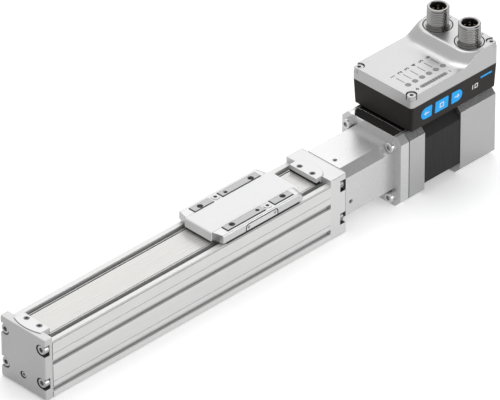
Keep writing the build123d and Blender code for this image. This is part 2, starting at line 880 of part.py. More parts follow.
with BuildPart() as side_covers:
    for side in (-1, 1):
        with BuildSketch(side_plane(side)) as face:
            side_cover_sketch(face)
        extrude(amount=-side_cover_thickness)
        side_points = [(side_cover_x + end * side_cover_screw_spacing / 2, side * slide_width / 2,
                        side_cover_z) for end in (-1, 1)]
        with Locations(*facing((0, side, 0), side_points)):
            CounterSinkHole(side_cover_core_radius + thread_gap, side_cover_screw_radius + countersink_gap,
                            side_cover_thickness)
finish(side_covers, "side_covers")

with BuildPart() as side_cover_screws:
    for side in (-1, 1):
        side_points = [(side_cover_x + end * side_cover_screw_spacing / 2, side * slide_width / 2,
                        side_cover_z) for end in (-1, 1)]
        with Locations(*facing((0, side, 0), side_points)):
            add(side_cover_screw)
finish(side_cover_screws, "side_cover_screws")

with BuildPart() as centring_sleeves:
    with Locations(*[(x, y, z - sleeve_depth) for x, y, z in sleeve_points]):
        Cylinder(sleeve_radius, sleeve_depth + pad_height, align=(Align.CENTER, Align.CENTER, Align.MIN))
        Cylinder(sleeve_bore, 3 * sleeve_depth, mode=Mode.SUBTRACT)
finish(centring_sleeves, "centring_sleeves")


# Nut housing between the arms, with the ball nut and the guide's runner
housing_front = slide_home - nut_housing_length / 2
saddle_screw = countersunk_screw(saddle_head_radius, saddle_core_radius, arm_thickness + saddle_screw_grip)

with BuildPart() as nut_housing:
    block((housing_front, -arm_inner, housing_under),
          (housing_front + nut_housing_length, arm_inner, housing_top))
    rod(nut_radius + seat_gap, housing_front, nut_housing_length, mode=Mode.SUBTRACT)
    for side in (-1, 1):
        with Locations(*facing((0, side, 0), saddle_points(side, arm_inner))):
            Hole(saddle_core_radius + thread_gap, saddle_screw_grip)
finish(nut_housing, "nut_housing")

with BuildPart() as saddle_screws:
    for side in (-1, 1):
        with Locations(*facing((0, side, 0), saddle_points(side, arm_outer))):
            add(saddle_screw)
finish(saddle_screws, "saddle_screws")

with BuildPart() as ball_nut:
    rod(nut_radius, housing_front, nut_length)
    rod(nut_flange_radius, housing_front - nut_flange_length, nut_flange_length)
    rod(screw_radius + nut_running_gap, housing_front - nut_flange_length,
        nut_flange_length + nut_length, mode=Mode.SUBTRACT)
finish(ball_nut, "ball_nut")

with BuildPart() as runner_block:
    runner_front = slide_home - runner_length / 2
    block((runner_front, -runner_width / 2, runner_top - runner_height),
          (runner_front + runner_length, runner_width / 2, runner_top))
    channel = rail_width / 2 + runner_running_gap
    block((runner_front, -channel, runner_top - runner_height),
          (runner_front + runner_length, channel, rail_top + runner_running_gap), mode=Mode.SUBTRACT)
finish(runner_block, "runner_block")


# Coupling housing: chamfered square neck and motor flange
with BuildPart() as coupling_housing:
    chamfered_bar(neck_width, neck_chamfer, drive_rear, neck_length)
    chamfered_bar(motor_width, motor_chamfer, flange_front, flange_thickness)
    rod(spigot_radius + neck_bore_gap, drive_rear, neck_length + flange_thickness - 2 * pilot_length,
        mode=Mode.SUBTRACT)
    rod(pilot_radius + neck_bore_gap, flange_front, flange_thickness, mode=Mode.SUBTRACT)
    with Locations(*facing((-1, 0, 0), flange_points(flange_front))):
        Hole(m3_core_radius + m3_clearance, flange_thickness)
    neck_half = neck_width / 2
    grub_x = drive_rear + grub_inset
    with Locations(Plane(origin=(grub_x, -grub_offset, axis_height + neck_half), z_dir=(0, 0, 1))):
        Hole(grub_radius + thread_gap, neck_half)
    with Locations(Plane(origin=(grub_x, -neck_half, axis_height - grub_offset), z_dir=(0, -1, 0))):
        Hole(grub_radius + thread_gap, neck_half)
finish(coupling_housing, "coupling_housing")

with BuildPart() as housing_grub_screws:
    grub_reach = math.sqrt(spigot_radius ** 2 - (grub_offset - grub_radius) ** 2) + grub_end_gap
    grub_length = neck_half - grub_sink - grub_reach
    with Locations((grub_x, -grub_offset, axis_height + grub_reach)):
        Cylinder(grub_radius, grub_length, align=(Align.CENTER, Align.CENTER, Align.MIN))
    with Locations(Plane(origin=(grub_x, -grub_reach, axis_height - grub_offset), z_dir=(0, -1, 0))):
        Cylinder(grub_radius, grub_length, align=(Align.CENTER, Align.CENTER, Align.MIN))
    outer = grub_reach + grub_length
    socket_planes = [Plane(origin=(grub_x, -grub_offset, axis_height + outer), z_dir=(0, 0, 1)),
                     Plane(origin=(grub_x, -outer, axis_height - grub_offset), z_dir=(0, -1, 0))]
    for socket_plane in socket_planes:
        with BuildSketch(socket_plane):
            RegularPolygon(m2_socket / math.sqrt(3), socket_sides)
        extrude(amount=-grub_length / 2, mode=Mode.SUBTRACT)
finish(housing_grub_screws, "housing_grub_screws")


# Flange screws with their washers
flange_screw = socket_screw(m3_head_radius, m3_head_height, m3_core_radius,
                            flange_screw_length + washer_thickness, m3_socket)

with BuildPart() as flange_washers:
    with Locations(*facing((-1, 0, 0), flange_points(flange_front))):
        Cylinder(washer_radius, washer_thickness, align=(Align.CENTER, Align.CENTER, Align.MIN))
        Cylinder(m3_core_radius + m3_clearance, 4 * washer_thickness, mode=Mode.SUBTRACT)
finish(flange_washers, "flange_washers")

with BuildPart() as flange_screws:
    with Locations(*facing((-1, 0, 0), flange_points(flange_front - washer_thickness))):
        add(flange_screw)
finish(flange_screws, "flange_screws")


# Motor bells with ears that wrap the laminations' cut corners
bearing_seat = flange_rear + pilot_length
rear_seat = motor_rear - bell_wall - motor_bearing_width

with BuildPart() as motor_front_bell:
    chamfered_bar(motor_width - 2 * bell_relief_inset, motor_chamfer, flange_rear, bell_relief_length)
    chamfered_bar(motor_width, motor_chamfer, flange_rear + bell_relief_length,
                  front_bell_length + ear_front - bell_relief_length)
    chamfered_bar(lamination_width, lamination_chamfer, lamination_front, ear_front, mode=Mode.SUBTRACT)
    rod(pilot_radius, flange_rear - pilot_length, pilot_length)
    rod(lamination_bore, bearing_seat + motor_bearing_width, lamination_front - bearing_seat,
        mode=Mode.SUBTRACT)
    rod(motor_bearing_radius + seat_gap, bearing_seat, motor_bearing_width, mode=Mode.SUBTRACT)
    rod(motor_bearing_radius - outer_ring_wall, flange_rear - pilot_length, bell_wall, mode=Mode.SUBTRACT)
    with Locations(*facing((-1, 0, 0), flange_points(flange_rear))):
        Hole(m3_core_radius + thread_gap, front_bell_length + ear_front)
    with Locations(*base_screw_points(motor_top)[:2]):
        Hole(m3_core_radius + thread_gap, base_screw_grip + hole_end_gap)
finish(motor_front_bell, "motor_front_bell")

with BuildPart() as motor_laminations:
    chamfered_bar(lamination_width, lamination_chamfer, lamination_front, lamination_length)
    rod(lamination_bore, lamination_front, lamination_length, mode=Mode.SUBTRACT)
    with Locations(*facing((-1, 0, 0), flange_points(lamination_front))):
        Hole(m3_core_radius + m3_clearance, lamination_length)
finish(motor_laminations, "motor_laminations")

with BuildPart() as motor_windings:
    ring(lamination_bore - seat_gap, winding_bore, lamination_front - winding_overhang / 2,
         lamination_length + winding_overhang)
finish(motor_windings, "motor_windings")

with BuildPart() as motor_rear_bell:
    ear_start = lamination_rear - ear_rear
    chamfered_bar(motor_width, motor_chamfer, ear_start, motor_rear - ear_start)
    chamfer(motor_rear_bell.faces().sort_by(Axis.X)[-1].edges(), rear_bell_edge)
    chamfered_bar(lamination_width, lamination_chamfer, ear_start, ear_rear, mode=Mode.SUBTRACT)
    rod(lamination_bore, ear_start, rear_seat - ear_start, mode=Mode.SUBTRACT)
    rod(motor_bearing_radius + seat_gap, rear_seat, motor_bearing_width, mode=Mode.SUBTRACT)
    with Locations(*facing((1, 0, 0), flange_points(motor_rear))):
        CounterBoreHole(m3_core_radius + m3_clearance, m3_head_radius + counterbore_gap,
                        m3_head_height + counterbore_gap, rear_bell_length + ear_rear)
    with Locations(*base_screw_points(motor_top)[2:]):
        Hole(m3_core_radius + thread_gap, base_screw_grip + hole_end_gap)
finish(motor_rear_bell, "motor_rear_bell")

tie_seat = motor_rear - m3_head_height - counterbore_gap
tie_screw = socket_screw(m3_head_radius, m3_head_height, m3_core_radius,
                         tie_seat - lamination_front + tie_screw_grip, m3_socket)

with BuildPart() as motor_tie_screws:
    with Locations(*facing((1, 0, 0), flange_points(tie_seat))):
        add(tie_screw)
finish(motor_tie_screws, "motor_tie_screws")


# Motor bearings, shaft and rotor
with BuildPart() as motor_bearing_outers:
    for start in (bearing_seat, rear_seat):
        ring(motor_bearing_radius, motor_bearing_radius - outer_ring_wall, start, motor_bearing_width)
finish(motor_bearing_outers, "motor_bearing_outers")

with BuildPart() as motor_bearing_inners:
    for start in (bearing_seat, rear_seat):
        ring(shaft_radius + inner_ring_wall, shaft_radius + seat_gap, start, motor_bearing_width)
finish(motor_bearing_inners, "motor_bearing_inners")

with BuildPart() as motor_shaft:
    shaft_front = flange_rear - shaft_reach
    rod(shaft_radius, shaft_front, rear_seat + motor_bearing_width - shaft_front)
finish(motor_shaft, "motor_shaft")

with BuildPart() as motor_rotor:
    rotor_front = lamination_front + (lamination_length - rotor_length) / 2
    ring(rotor_radius, shaft_radius + seat_gap, rotor_front, rotor_length)
finish(motor_rotor, "motor_rotor")


# Jaw coupling between the screw's journal and the motor shaft
spider_front = hub_front + hub_length
motor_hub_front = spider_front + spider_length


def jaws(start, length, turn, grow=0.0, mode=Mode.ADD):
    """Blocks around the screw line that reach into the spider."""
    with BuildSketch(across(start)) as jaw_row:
        with PolarLocations(jaw_radius, jaw_count, start_angle=turn):
            Rectangle(jaw_depth + 2 * grow, jaw_width + 2 * grow)
    extrude(jaw_row.sketch, amount=length, mode=mode)


with BuildPart() as screw_coupling_hub:
    rod(hub_radius, hub_front, hub_length)
    jaws(spider_front, spider_length - jaw_gap, 0)
    rod(journal_radius + seat_gap, hub_front, hub_length, mode=Mode.SUBTRACT)
finish(screw_coupling_hub, "screw_coupling_hub")

with BuildPart() as motor_coupling_hub:
    rod(hub_radius, motor_hub_front, hub_length)
    jaws(spider_front + jaw_gap, spider_length - jaw_gap, 180 / jaw_count)
    rod(shaft_radius + seat_gap, motor_hub_front, hub_length, mode=Mode.SUBTRACT)
finish(motor_coupling_hub, "motor_coupling_hub")

with BuildPart() as coupling_spider:
    ring(hub_radius, spider_bore, spider_front, spider_length)
    jaws(spider_front, spider_length, 0, grow=seat_gap, mode=Mode.SUBTRACT)
    jaws(spider_front, spider_length, 180 / jaw_count, grow=seat_gap, mode=Mode.SUBTRACT)
finish(coupling_spider, "coupling_spider")


# Push buttons: row of three on the box's side, their outer faces parallel to its draft
button_lengths = (side_button_length, centre_button_length, side_button_length)
button_starts = [box_front + buttons_start,
                 box_front + buttons_start + side_button_length + button_gap,
                 box_front + buttons_start + side_button_length + centre_button_length + 2 * button_gap]
cavity_half = box_width / 2 - box_wall
lip_face = cavity_half - button_lip_gap
stem_face = lip_face - button_lip_thickness
stem_end = stem_face - button_stem_length
draft_slope = math.tan(math.radians(base_draft))


def box_plane(z):
    """Level plane on the electronics box's middle."""
    return Plane(origin=(box_middle, 0, z))


def box_outline(inset=0.0, mode=Mode.ADD):
    """Rounded plan of the electronics box, in the sketch being built."""
    RectangleRounded(box_length - 2 * inset, box_width - 2 * inset, box_corner - inset, mode=mode)


def button_outline(face, index, grow=0.0):
    """Front view of a button: the row's two outer ends are round."""
    length = button_lengths[index] + 2 * grow
    height = button_height + 2 * grow
    outer = index - 1
    if outer == 0:
        RectangleRounded(length, height, button_corner + grow)
        return
    with Locations((outer * (length - height) / 2, 0)):
        Circle(height / 2)
    with Locations((-outer * height / 4, 0)):
        Rectangle(length - height / 2, height)
    fillet(face.vertices().group_by(Axis.X)[0 if outer > 0 else -1], button_corner + grow)


def button_plane(index, y):
    """Upright plane at one button's middle, its normal pointing out of the box."""
    x = button_starts[index] + button_lengths[index] / 2
    return Plane(origin=(x, y, buttons_z), x_dir=(1, 0, 0), z_dir=(0, -1, 0))


def make_button(index, name):
    """One push button with its retaining lip and its stem."""
    side_face = box_width / 2 - (rim_under - buttons_z) * draft_slope
    with BuildPart() as button:
        with BuildSketch(button_plane(index, -lip_face)) as face:
            button_outline(face, index)
        extrude(amount=box_wall + 2 * button_proud)
        with BuildSketch(button_plane(index, -lip_face)) as lip:
            button_outline(lip, index, button_lip)
        extrude(amount=-button_lip_thickness)
        split(bisect_by=Plane(origin=(0, -side_face - button_proud, buttons_z),
                              x_dir=(1, 0, 0), z_dir=(0, -1, -draft_slope)), keep=Keep.BOTTOM)
        fillet(button.faces().sort_by(Axis.Y)[0].edges(), button_edge)
        with BuildSketch(button_plane(index, -stem_face)):
            Circle(button_stem_radius)
        extrude(amount=-button_stem_length)
    finish(button, name)


make_button(0, "left_button")
make_button(1, "centre_button")
make_button(2, "right_button")


# Electronics base: drafted tray with rounded lower edges
corner_posts = [(x, y) for x in (box_front + cover_screw_inset, box_rear - cover_screw_inset)
                for y in (-box_width / 2 + cover_screw_inset, box_width / 2 - cover_screw_inset)]
wire_hole_x = lamination_front + lamination_length / 2

with BuildPart() as electronics_base:
    with BuildSketch(box_plane(rim_under)):
        box_outline()
    extrude(amount=-base_height, taper=base_draft)
    fillet(electronics_base.faces().sort_by(Axis.Z)[0].edges(), base_edge)
    block((box_front + box_wall, -cavity_half, floor_top), (box_rear - box_wall, cavity_half, rim_under),
          mode=Mode.SUBTRACT)
    with Locations(*[(x, y, rim_under) for x, y in corner_posts]):
        Cylinder(base_post_radius, base_post_height, align=(Align.CENTER, Align.CENTER, Align.MAX))
        Hole(cover_core_radius + thread_gap, cover_screw_grip + hole_end_gap)
    with BuildSketch(box_plane(rim_under)):
        box_outline(seal_inset)
        box_outline(seal_inset + seal_width, Mode.SUBTRACT)
    extrude(amount=-seal_depth, mode=Mode.SUBTRACT)
    with Locations(Plane(origin=(box_middle, standoff_shift_y, floor_top))):
        with GridLocations(standoff_spacing_x, standoff_spacing_y, 2, 2):
            Cylinder(standoff_radius, main_board_height, align=(Align.CENTER, Align.CENTER, Align.MIN))
    with Locations((wire_hole_x, 0, floor_top)):
        Hole(wire_hole_radius, base_floor)
    with Locations(*base_screw_points(floor_top)):
        Hole(m3_core_radius + m3_clearance, base_floor)
    for index in range(3):
        with BuildSketch(button_plane(index, 0)) as window:
            button_outline(window, index, button_play)
        extrude(amount=box_width, mode=Mode.SUBTRACT)
finish(electronics_base, "electronics_base")

with BuildPart() as electronics_gasket:
    with BuildSketch(box_plane(motor_top)):
        RectangleRounded(box_length - 2 * gasket_inset, gasket_width, box_corner)
    extrude(amount=gasket_thickness)
    with Locations((wire_hole_x, 0, base_under)):
        Hole(wire_hole_radius, gasket_thickness)
    with Locations(*base_screw_points(base_under)):
        Hole(m3_core_radius + m3_clearance, gasket_thickness)
finish(electronics_gasket, "electronics_gasket")

base_screw = socket_screw(m3_head_radius, base_head_height, m3_core_radius,
                          base_floor + gasket_thickness + base_screw_grip, m3_socket)

with BuildPart() as base_screws:
    with Locations(*base_screw_points(floor_top)):
        add(base_screw)
finish(base_screws, "base_screws")


# Boards: the main one on its standoffs, and an upright one with a key switch behind each button
switch_face = stem_end - button_travel - switch_clearance
switch_board_face = switch_face - switch_height
switch_board_back = switch_board_face - board_thickness
board_top = floor_top + main_board_height + board_thickness
post_reach = cover_screw_inset + base_post_radius + board_margin

with BuildPart() as circuit_boards:
    block((box_front + post_reach, -switch_board_back + board_margin, board_top - board_thickness),
          (box_rear - post_reach, cavity_half - board_margin, board_top))
    block((button_starts[0] - button_gap, -switch_board_face, floor_top),
          (button_starts[2] + side_button_length + button_gap, -switch_board_back,
           floor_top + switch_board_height))
    for index in range(3):
        with BuildSketch(button_plane(index, -switch_board_face)):
            Rectangle(switch_size, switch_size)
        extrude(amount=switch_height)
finish(circuit_boards, "circuit_boards")


# Seal in the base's groove
with BuildPart() as cover_seal:
    with BuildSketch(box_plane(rim_under)):
        box_outline(seal_inset)
        box_outline(seal_inset + seal_width, Mode.SUBTRACT)
    extrude(amount=-seal_depth)
finish(cover_seal, "cover_seal")


# Electronics cover: level rim, and a plateau around the connectors with a curved ramp
def upright_plane(y):
    """Plane through a connector's axis, its local axes pointing to the front and up."""
    return Plane(origin=(connector_x, y, 0), x_dir=(-1, 0, 0), z_dir=(0, 1, 0))


def connector_axis(y):
    """Upright axis of the connector at one side."""
    return Axis((connector_x, y, 0), (0, 0, 1))


def ramp_profile():
    """Half section of the plateau and its ramp, from a connector's axis outwards."""
    angle = math.radians(ramp_angle)
    crest_out = ramp_inner_radius + ramp_crest_radius * math.sin(angle)
    crest_low = plateau_top - ramp_crest_radius * (1 - math.cos(angle))
    foot_high = cover_top + ramp_foot_radius * (1 - math.cos(angle))
    foot_in = crest_out + (crest_low - foot_high) / math.tan(angle)
    foot_out = foot_in + ramp_foot_radius * math.sin(angle)
    with BuildLine() as outline:
        Polyline((foot_out, cover_top), (foot_out, rim_under), (0, rim_under), (0, plateau_top),
                 (ramp_inner_radius, plateau_top))
        TangentArc((ramp_inner_radius, plateau_top), (crest_out, crest_low), tangent=(1, 0))
        Line((crest_out, crest_low), (foot_in, foot_high))
        TangentArc((foot_out, cover_top), (foot_in, foot_high), tangent=(-1, 0))
    make_face(outline.edges())


front_cover_screws = [(x, y, cover_top - cover_screw_depth) for x, y in corner_posts[:2]]
rear_cover_screws = [(x, y, plateau_top - cover_screw_depth) for x, y in corner_posts[2:]]
lens_points = [(box_front + indicator_start + index * indicator_pitch, indicator_y, cover_top)
               for index in range(indicator_count)]
bar_point = (box_front + bar_start + bar_length / 2, bar_y, cover_top)

with BuildPart() as electronics_cover:
    for y in (-connector_y, connector_y):
        with BuildSketch(upright_plane(y)):
            ramp_profile()
        revolve(axis=connector_axis(y))
    with BuildSketch(upright_plane(-connector_y)):
        ramp_profile()
    extrude(amount=connector_spacing)
    block((connector_x, -box_width / 2, rim_under), (box_rear, box_width / 2, plateau_top))
    with BuildSketch(box_plane(rim_under)):
        box_outline()
    extrude(amount=plateau_top - rim_under, mode=Mode.INTERSECT)
    with BuildSketch(box_plane(rim_under)):
        box_outline()
    extrude(amount=rim_height)
    with BuildSketch(box_plane(rim_under)):
        Rectangle(box_length - 2 * cover_wall, box_width - 2 * cover_wall)
        with Locations(*[(x - box_middle, y) for x, y in corner_posts]):
            Circle(cover_post_radius, mode=Mode.SUBTRACT)
    extrude(amount=rim_height - cover_wall, mode=Mode.SUBTRACT)
    plateau_room = plateau_top - cover_wall
    room_front = connector_x - ramp_inner_radius / 2
    room_rear = box_rear - cover_screw_inset - cover_post_radius
    block((room_front, cover_wall - box_width / 2, rim_under),
          (room_rear, box_width / 2 - cover_wall, plateau_room), mode=Mode.SUBTRACT)
    with Locations(*front_cover_screws, *rear_cover_screws):
        Cylinder(cover_screw_pocket, plateau_rise + cover_screw_depth,
                 align=(Align.CENTER, Align.CENTER, Align.MIN), mode=Mode.SUBTRACT)
        Cylinder(cover_core_radius + m3_clearance, 2 * (plateau_top - rim_under), mode=Mode.SUBTRACT)
    with Locations(*[(connector_x, y, plateau_top) for y in (-connector_y, connector_y)]):
        CounterBoreHole(connector_stem_radius + seat_gap, connector_seal_radius, connector_disc_depth,
                        2 * cover_wall)
    with Locations(*lens_points):
        Hole(indicator_radius + lens_gap, cover_wall)
    with BuildSketch(Plane(origin=bar_point)):
        SlotOverall(bar_length + 2 * lens_gap, bar_width + 2 * lens_gap)
    extrude(amount=-cover_wall, mode=Mode.SUBTRACT)
finish(electronics_cover, "electronics_cover")

front_cover_screw = socket_screw(cover_head_radius, cover_head_height, cover_core_radius,
                                 rim_height - cover_screw_depth + cover_screw_grip, cover_socket)
rear_cover_screw = socket_screw(cover_head_radius, cover_head_height, cover_core_radius,
                                plateau_top - rim_under - cover_screw_depth + cover_screw_grip,
                                cover_socket)

with BuildPart() as cover_screws:
    with Locations(*front_cover_screws):
        add(front_cover_screw)
    with Locations(*rear_cover_screws):
        add(rear_cover_screw)
finish(cover_screws, "cover_screws")


# Lenses in the cover: six dots and the bar
with BuildPart() as indicator_lenses:
    with Locations(*lens_points):
        Cylinder(indicator_radius, cover_wall, align=(Align.CENTER, Align.CENTER, Align.MAX))
        Cylinder(indicator_radius, lens_stand, align=(Align.CENTER, Align.CENTER, Align.MIN))
finish(indicator_lenses, "indicator_lenses")

with BuildPart() as light_bar:
    with BuildSketch(Plane(origin=bar_point).offset(lens_stand)):
        SlotOverall(bar_length, bar_width)
    extrude(amount=-cover_wall - lens_stand)
finish(light_bar, "light_bar")


# Round connectors: threaded shells, inserts, pins and seals
def shell_profile():
    """Half section of a connector shell with its row of thread ridges."""
    root = thread_crest - thread_depth
    collar_top = plateau_top + connector_collar_height
    band_under = connector_top - connector_plain_top
    ridges = int((band_under - collar_top) / thread_pitch)
    ridge_start = band_under - ridges * thread_pitch
    points = [(connector_bore, plateau_top - connector_stem_depth),
              (connector_stem_radius, plateau_top - connector_stem_depth),
              (connector_stem_radius, plateau_top - connector_disc_depth),
              (connector_disc_radius, plateau_top - connector_disc_depth),
              (connector_disc_radius, plateau_top), (connector_collar_radius, plateau_top),
              (connector_collar_radius, collar_top), (root, collar_top), (root, ridge_start)]
    for index in range(ridges):
        low = ridge_start + index * thread_pitch
        flank = thread_pitch * thread_flank_share
        points += [(thread_crest, low + flank), (thread_crest, low + thread_pitch - flank),
                   (root, low + thread_pitch)]
    points += [(thread_crest, band_under + thread_depth), (thread_crest, connector_top - connector_chamfer),
               (thread_crest - connector_chamfer, connector_top),
               (connector_bore + connector_mouth_chamfer, connector_top),
               (connector_bore, connector_top - connector_mouth_chamfer)]
    with BuildLine() as outline:
        Polyline(*points, close=True)
    make_face(outline.edges())


socket_floor = connector_top - connector_socket_depth
insert_under = socket_floor - insert_length
connector_places = [(connector_x, y, 0) for y in (-connector_y, connector_y)]

with BuildPart() as connector_shells:
    for y in (-connector_y, connector_y):
        with BuildSketch(upright_plane(y)):
            shell_profile()
        revolve(axis=connector_axis(y))
finish(connector_shells, "connector_shells")


def contact_circles(radius, mode=Mode.ADD):
    """Contact places of both connectors, as circles in the sketch being built."""
    with Locations(*connector_places):
        Circle(radius, mode=mode)
        with PolarLocations(pin_circle_radius, pin_count, start_angle=180 / pin_count):
            Circle(radius, mode=mode)


with BuildPart() as connector_inserts:
    with BuildSketch(Plane.XY.offset(insert_under)):
        with Locations(*connector_places):
            Circle(connector_bore - seat_gap)
        contact_circles(pin_radius + seat_gap, Mode.SUBTRACT)
    extrude(amount=insert_length)
finish(connector_inserts, "connector_inserts")

with BuildPart() as connector_pins:
    with BuildSketch(Plane.XY.offset(insert_under - pin_recess)):
        contact_circles(pin_radius)
    extrude(amount=connector_top - insert_under)
finish(connector_pins, "connector_pins")

with BuildPart() as connector_seals:
    with BuildSketch(Plane.XY.offset(plateau_top - connector_disc_depth)):
        with Locations(*connector_places):
            Circle(connector_seal_radius - seat_gap)
            Circle(connector_disc_radius + seat_gap, mode=Mode.SUBTRACT)
    extrude(amount=connector_disc_depth)
finish(connector_seals, "connector_seals")
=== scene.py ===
import json
import math

import bmesh
import bpy
from mathutils import Matrix, Vector


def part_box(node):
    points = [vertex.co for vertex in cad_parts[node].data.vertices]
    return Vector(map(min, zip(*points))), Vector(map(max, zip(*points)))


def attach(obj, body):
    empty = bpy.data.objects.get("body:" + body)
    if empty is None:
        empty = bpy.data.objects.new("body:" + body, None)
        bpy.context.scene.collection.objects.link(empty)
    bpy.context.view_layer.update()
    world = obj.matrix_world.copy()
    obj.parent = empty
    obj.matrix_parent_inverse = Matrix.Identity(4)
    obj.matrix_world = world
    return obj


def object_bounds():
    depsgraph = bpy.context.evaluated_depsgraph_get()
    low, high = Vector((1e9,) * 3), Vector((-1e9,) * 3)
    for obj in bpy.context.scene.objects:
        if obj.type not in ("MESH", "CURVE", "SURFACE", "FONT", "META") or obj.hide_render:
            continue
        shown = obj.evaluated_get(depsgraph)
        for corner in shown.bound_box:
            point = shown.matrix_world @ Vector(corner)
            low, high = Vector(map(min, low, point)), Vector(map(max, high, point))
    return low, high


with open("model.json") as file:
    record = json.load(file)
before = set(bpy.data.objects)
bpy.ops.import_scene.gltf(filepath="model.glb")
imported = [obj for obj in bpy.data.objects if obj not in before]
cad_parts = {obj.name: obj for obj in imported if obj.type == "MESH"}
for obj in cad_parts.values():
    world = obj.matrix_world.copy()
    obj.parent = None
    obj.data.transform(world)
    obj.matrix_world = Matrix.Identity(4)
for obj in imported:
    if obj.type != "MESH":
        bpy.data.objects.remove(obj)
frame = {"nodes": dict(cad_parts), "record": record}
nodes = frame["nodes"]
cad_box = [[float(v) for v in corner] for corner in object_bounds()]

MM = 0.001

# Camera: the photograph's viewing angle, in degrees, and its framing in millimetres and pixels
VIEW_AZIMUTH = -44.527
VIEW_ELEVATION = 34.116
VIEW_ROLL = -0.232
VIEW_TARGET = (55.47, 0.0, 36.89)
VIEW_DISTANCE = 3555.6
VIEW_FOCAL_PIXELS = 7017.0
IMAGE_WIDTH = 500
SENSOR_WIDTH = 36.0

# Lamps: place from the middle and size, both in metres, and strength
LAMPS = {
    "top_lamp": ((0.25, 0.35, 1.25), (0.8, 0.8), 5.0),
    "side_lamp": ((0.4, -1.35, 0.22), (1.3, 0.5), 11.5),
    "front_lamp": ((-1.3, 0.1, 0.5), (0.9, 0.9), 0.5),
    "back_lamp": ((0.90, 0.91, 0.87), (1.2, 0.9), 3.2),
}

# Plain surroundings, and the floor with its tone to the eye and to bounced light
SURROUND_LIGHT = 0.49
FLOOR_SIZE = 6.0
FLOOR_GLOW = 0.32
FLOOR_SHOWN = 0.95
FLOOR_BOUNCED = 0.25

# Dark card beside the set, which bare metal mirrors, its distance and size in metres
CARD_DIRECTION = (0.58, -0.56, 0.59)
CARD_DISTANCE = 1.4
CARD_SIZE = 0.75
CARD_TONE = 0.02
CARD_ROUGHNESS = 0.9

# Sheets in the motor's stack, counted along the travel
SHEETS_PER_METRE = 330.0

# Patterns and special faces of the finishes, heights and skins in millimetres
CLOUD_SCALE = 60.0
MOULDED_CLOUD_SCALE = 90.0
CLOUD_MIX = 0.35
GRAIN_MIX = 0.30
GRAIN_SHADE = 0.86
GRAIN_HEIGHT = 0.02
GAP_REACH = 0.9
EDGE_SAMPLES = 6
POLISHED_ROUGHNESS = 0.08
PATCH_SKIN = 0.02

# Printed lines, seams, and dark lines and bars of painted shade, their widths and heights in millimetres
LINE_LIFT = 0.02
PRINT_LIFT = 0.012
FIGURE_LIFT = 0.01
OUTLINE_LIFT = 0.04
NEAR_STRIP_SHADE = (0.06, 0.20)
FAR_STRIP_SHADE = (0.01, 0.75)
END_SEAM_WIDTH = 0.3
CLAMP_SHADE = 1.15
CLAMP_SHADE_RETURN = 3.0
LIP_SHADE = 0.4
FRONT_ARC_SHADE = 0.24
DRIVE_ARC_SHADE = 0.14
SCORE_DEPTH = 0.09
SCORE_HALF_WIDTH = 0.08
SCORE_THICKNESS = 0.1
EDGE_SHADE_SPAN = (-0.08, 0.14)
CAP_SHADE_INSETS = (1.2, 0.1)
CAP_SHADE_SPAN = (-0.3, -0.08)
PAD_SHADE_NEAR = 0.5
PAD_SHADE_FAR = 0.12
PAD_LINE_DROP = 0.03
SIDE_COVER_LINE = 0.6

# Black wipers and side lips under the slide, which also stand in for the shade in its gaps, in millimetres
WIPER_INSET = 0.35
WIPER_LENGTH = 1.6
WIPER_TIP = 0.9
WIPER_ROOT = 0.5
WIPER_EDGE = 0.25
WIPER_BACK = 0.6
STRIP_CLEARANCE = 0.02
SIDE_LIP_CLEARANCE = 0.06
SIDE_LIP_SPAN = (0.12, 0.8)
SIDE_LIP_END = 4.0

# Printed figures and marks, in millimetres
DOT_FIGURE_REACH = 10.9
DOT_FIGURE_SIZE = 4.0
LEADER_SPAN = (2.7, 8.6)
LEADER_HALF_WIDTH = 0.19
SIGN_REACH = 1.1
SIGN_HALF_WIDTH = 0.25
PLUS_BEFORE_BAR = 2.4
MINUS_AFTER_BAR = 2.2
MINUS_SHARE = 0.8
SEGMENTS = 10
SEGMENT_HALF_WIDTH = 0.13
SEGMENT_INSET = 0.12
CONNECTOR_FIGURE_REACH = 9.2
CONNECTOR_FIGURE_SIZE = 2.6
PRINT_THICKNESS = 0.004
PRINT_BOLDNESS = 0.07

# Marks on the button wall, in millimetres
ARROW_REACH = 1.75
ARROW_HEAD = 1.25
ARROW_HALF_LINE = 0.31
ARROW_OVERLAP = 0.4
BARB_WIDTH = 0.34
BARB_LIFT = 0.002
RING_REACH = 1.5
RING_LINE = 0.55
DASH_HALF_LENGTH = 4.2
DASH_HALF_WIDTH = 0.55
DASH_X = 206.0
DASH_UP = 3.4
SIDE_FIGURE_X = 198.1
SIDE_FIGURE_UP = -0.2
SIDE_FIGURE_STROKES = (((-2.1, -1.4), (-1.5, 1.4)), ((-0.4, -1.4), (0.15, 1.4)), ((1.45, -1.4), (2.0, 1.4)),
                       ((0.15, -1.4), (1.45, -0.85)), ((0.15, 0.85), (1.45, 1.4)))

# Places on the part as the CAD has them, in millimetres, and the box's draft in degrees
PROFILE_END = 97.5
PROFILE_SIDE = 16.0
PROFILE_TOP = 33.0
SCORE_HEIGHTS = (8.8, 25.6)
EDGE_SHADE_HEIGHT = 32.2
END_SEAM_SPANS = ((0.1, 3.0), (6.3, 18.7), (22.0, 32.3))
CARRIER_TOP = 32.35
CARRIER_LIT_EDGE = 9.45
LIP_EDGE = 12.4
STRIP_TOP = 32.55
STRIP_HALF = 8.7
CAP_TOP = 36.0
CLAMP_HALF = 9.5
FRONT_CLAMP_ARC = (-99.3, 1.9)
DRIVE_CLAMP_ARC = (98.3, 4.4)
NECK_START = 108.6
CAP_CHAMFER = 0.45
SLIDE_HOME = 49.3
SLIDE_TOP = 39.05
PAD_TOP = 39.3
SLIDE_UNDER = 34.4
SLIDE_COVER_HALF_LENGTH = 30.8
PAD_REACH = 23.1
PAD_NEAR_END = 3.4
PAD_FAR_START = 10.1
PAD_OUTER = 13.9
PAD_INNER = 9.75
SIDE_COVER_X = 48.3
SIDE_COVER_HALF = 10.9
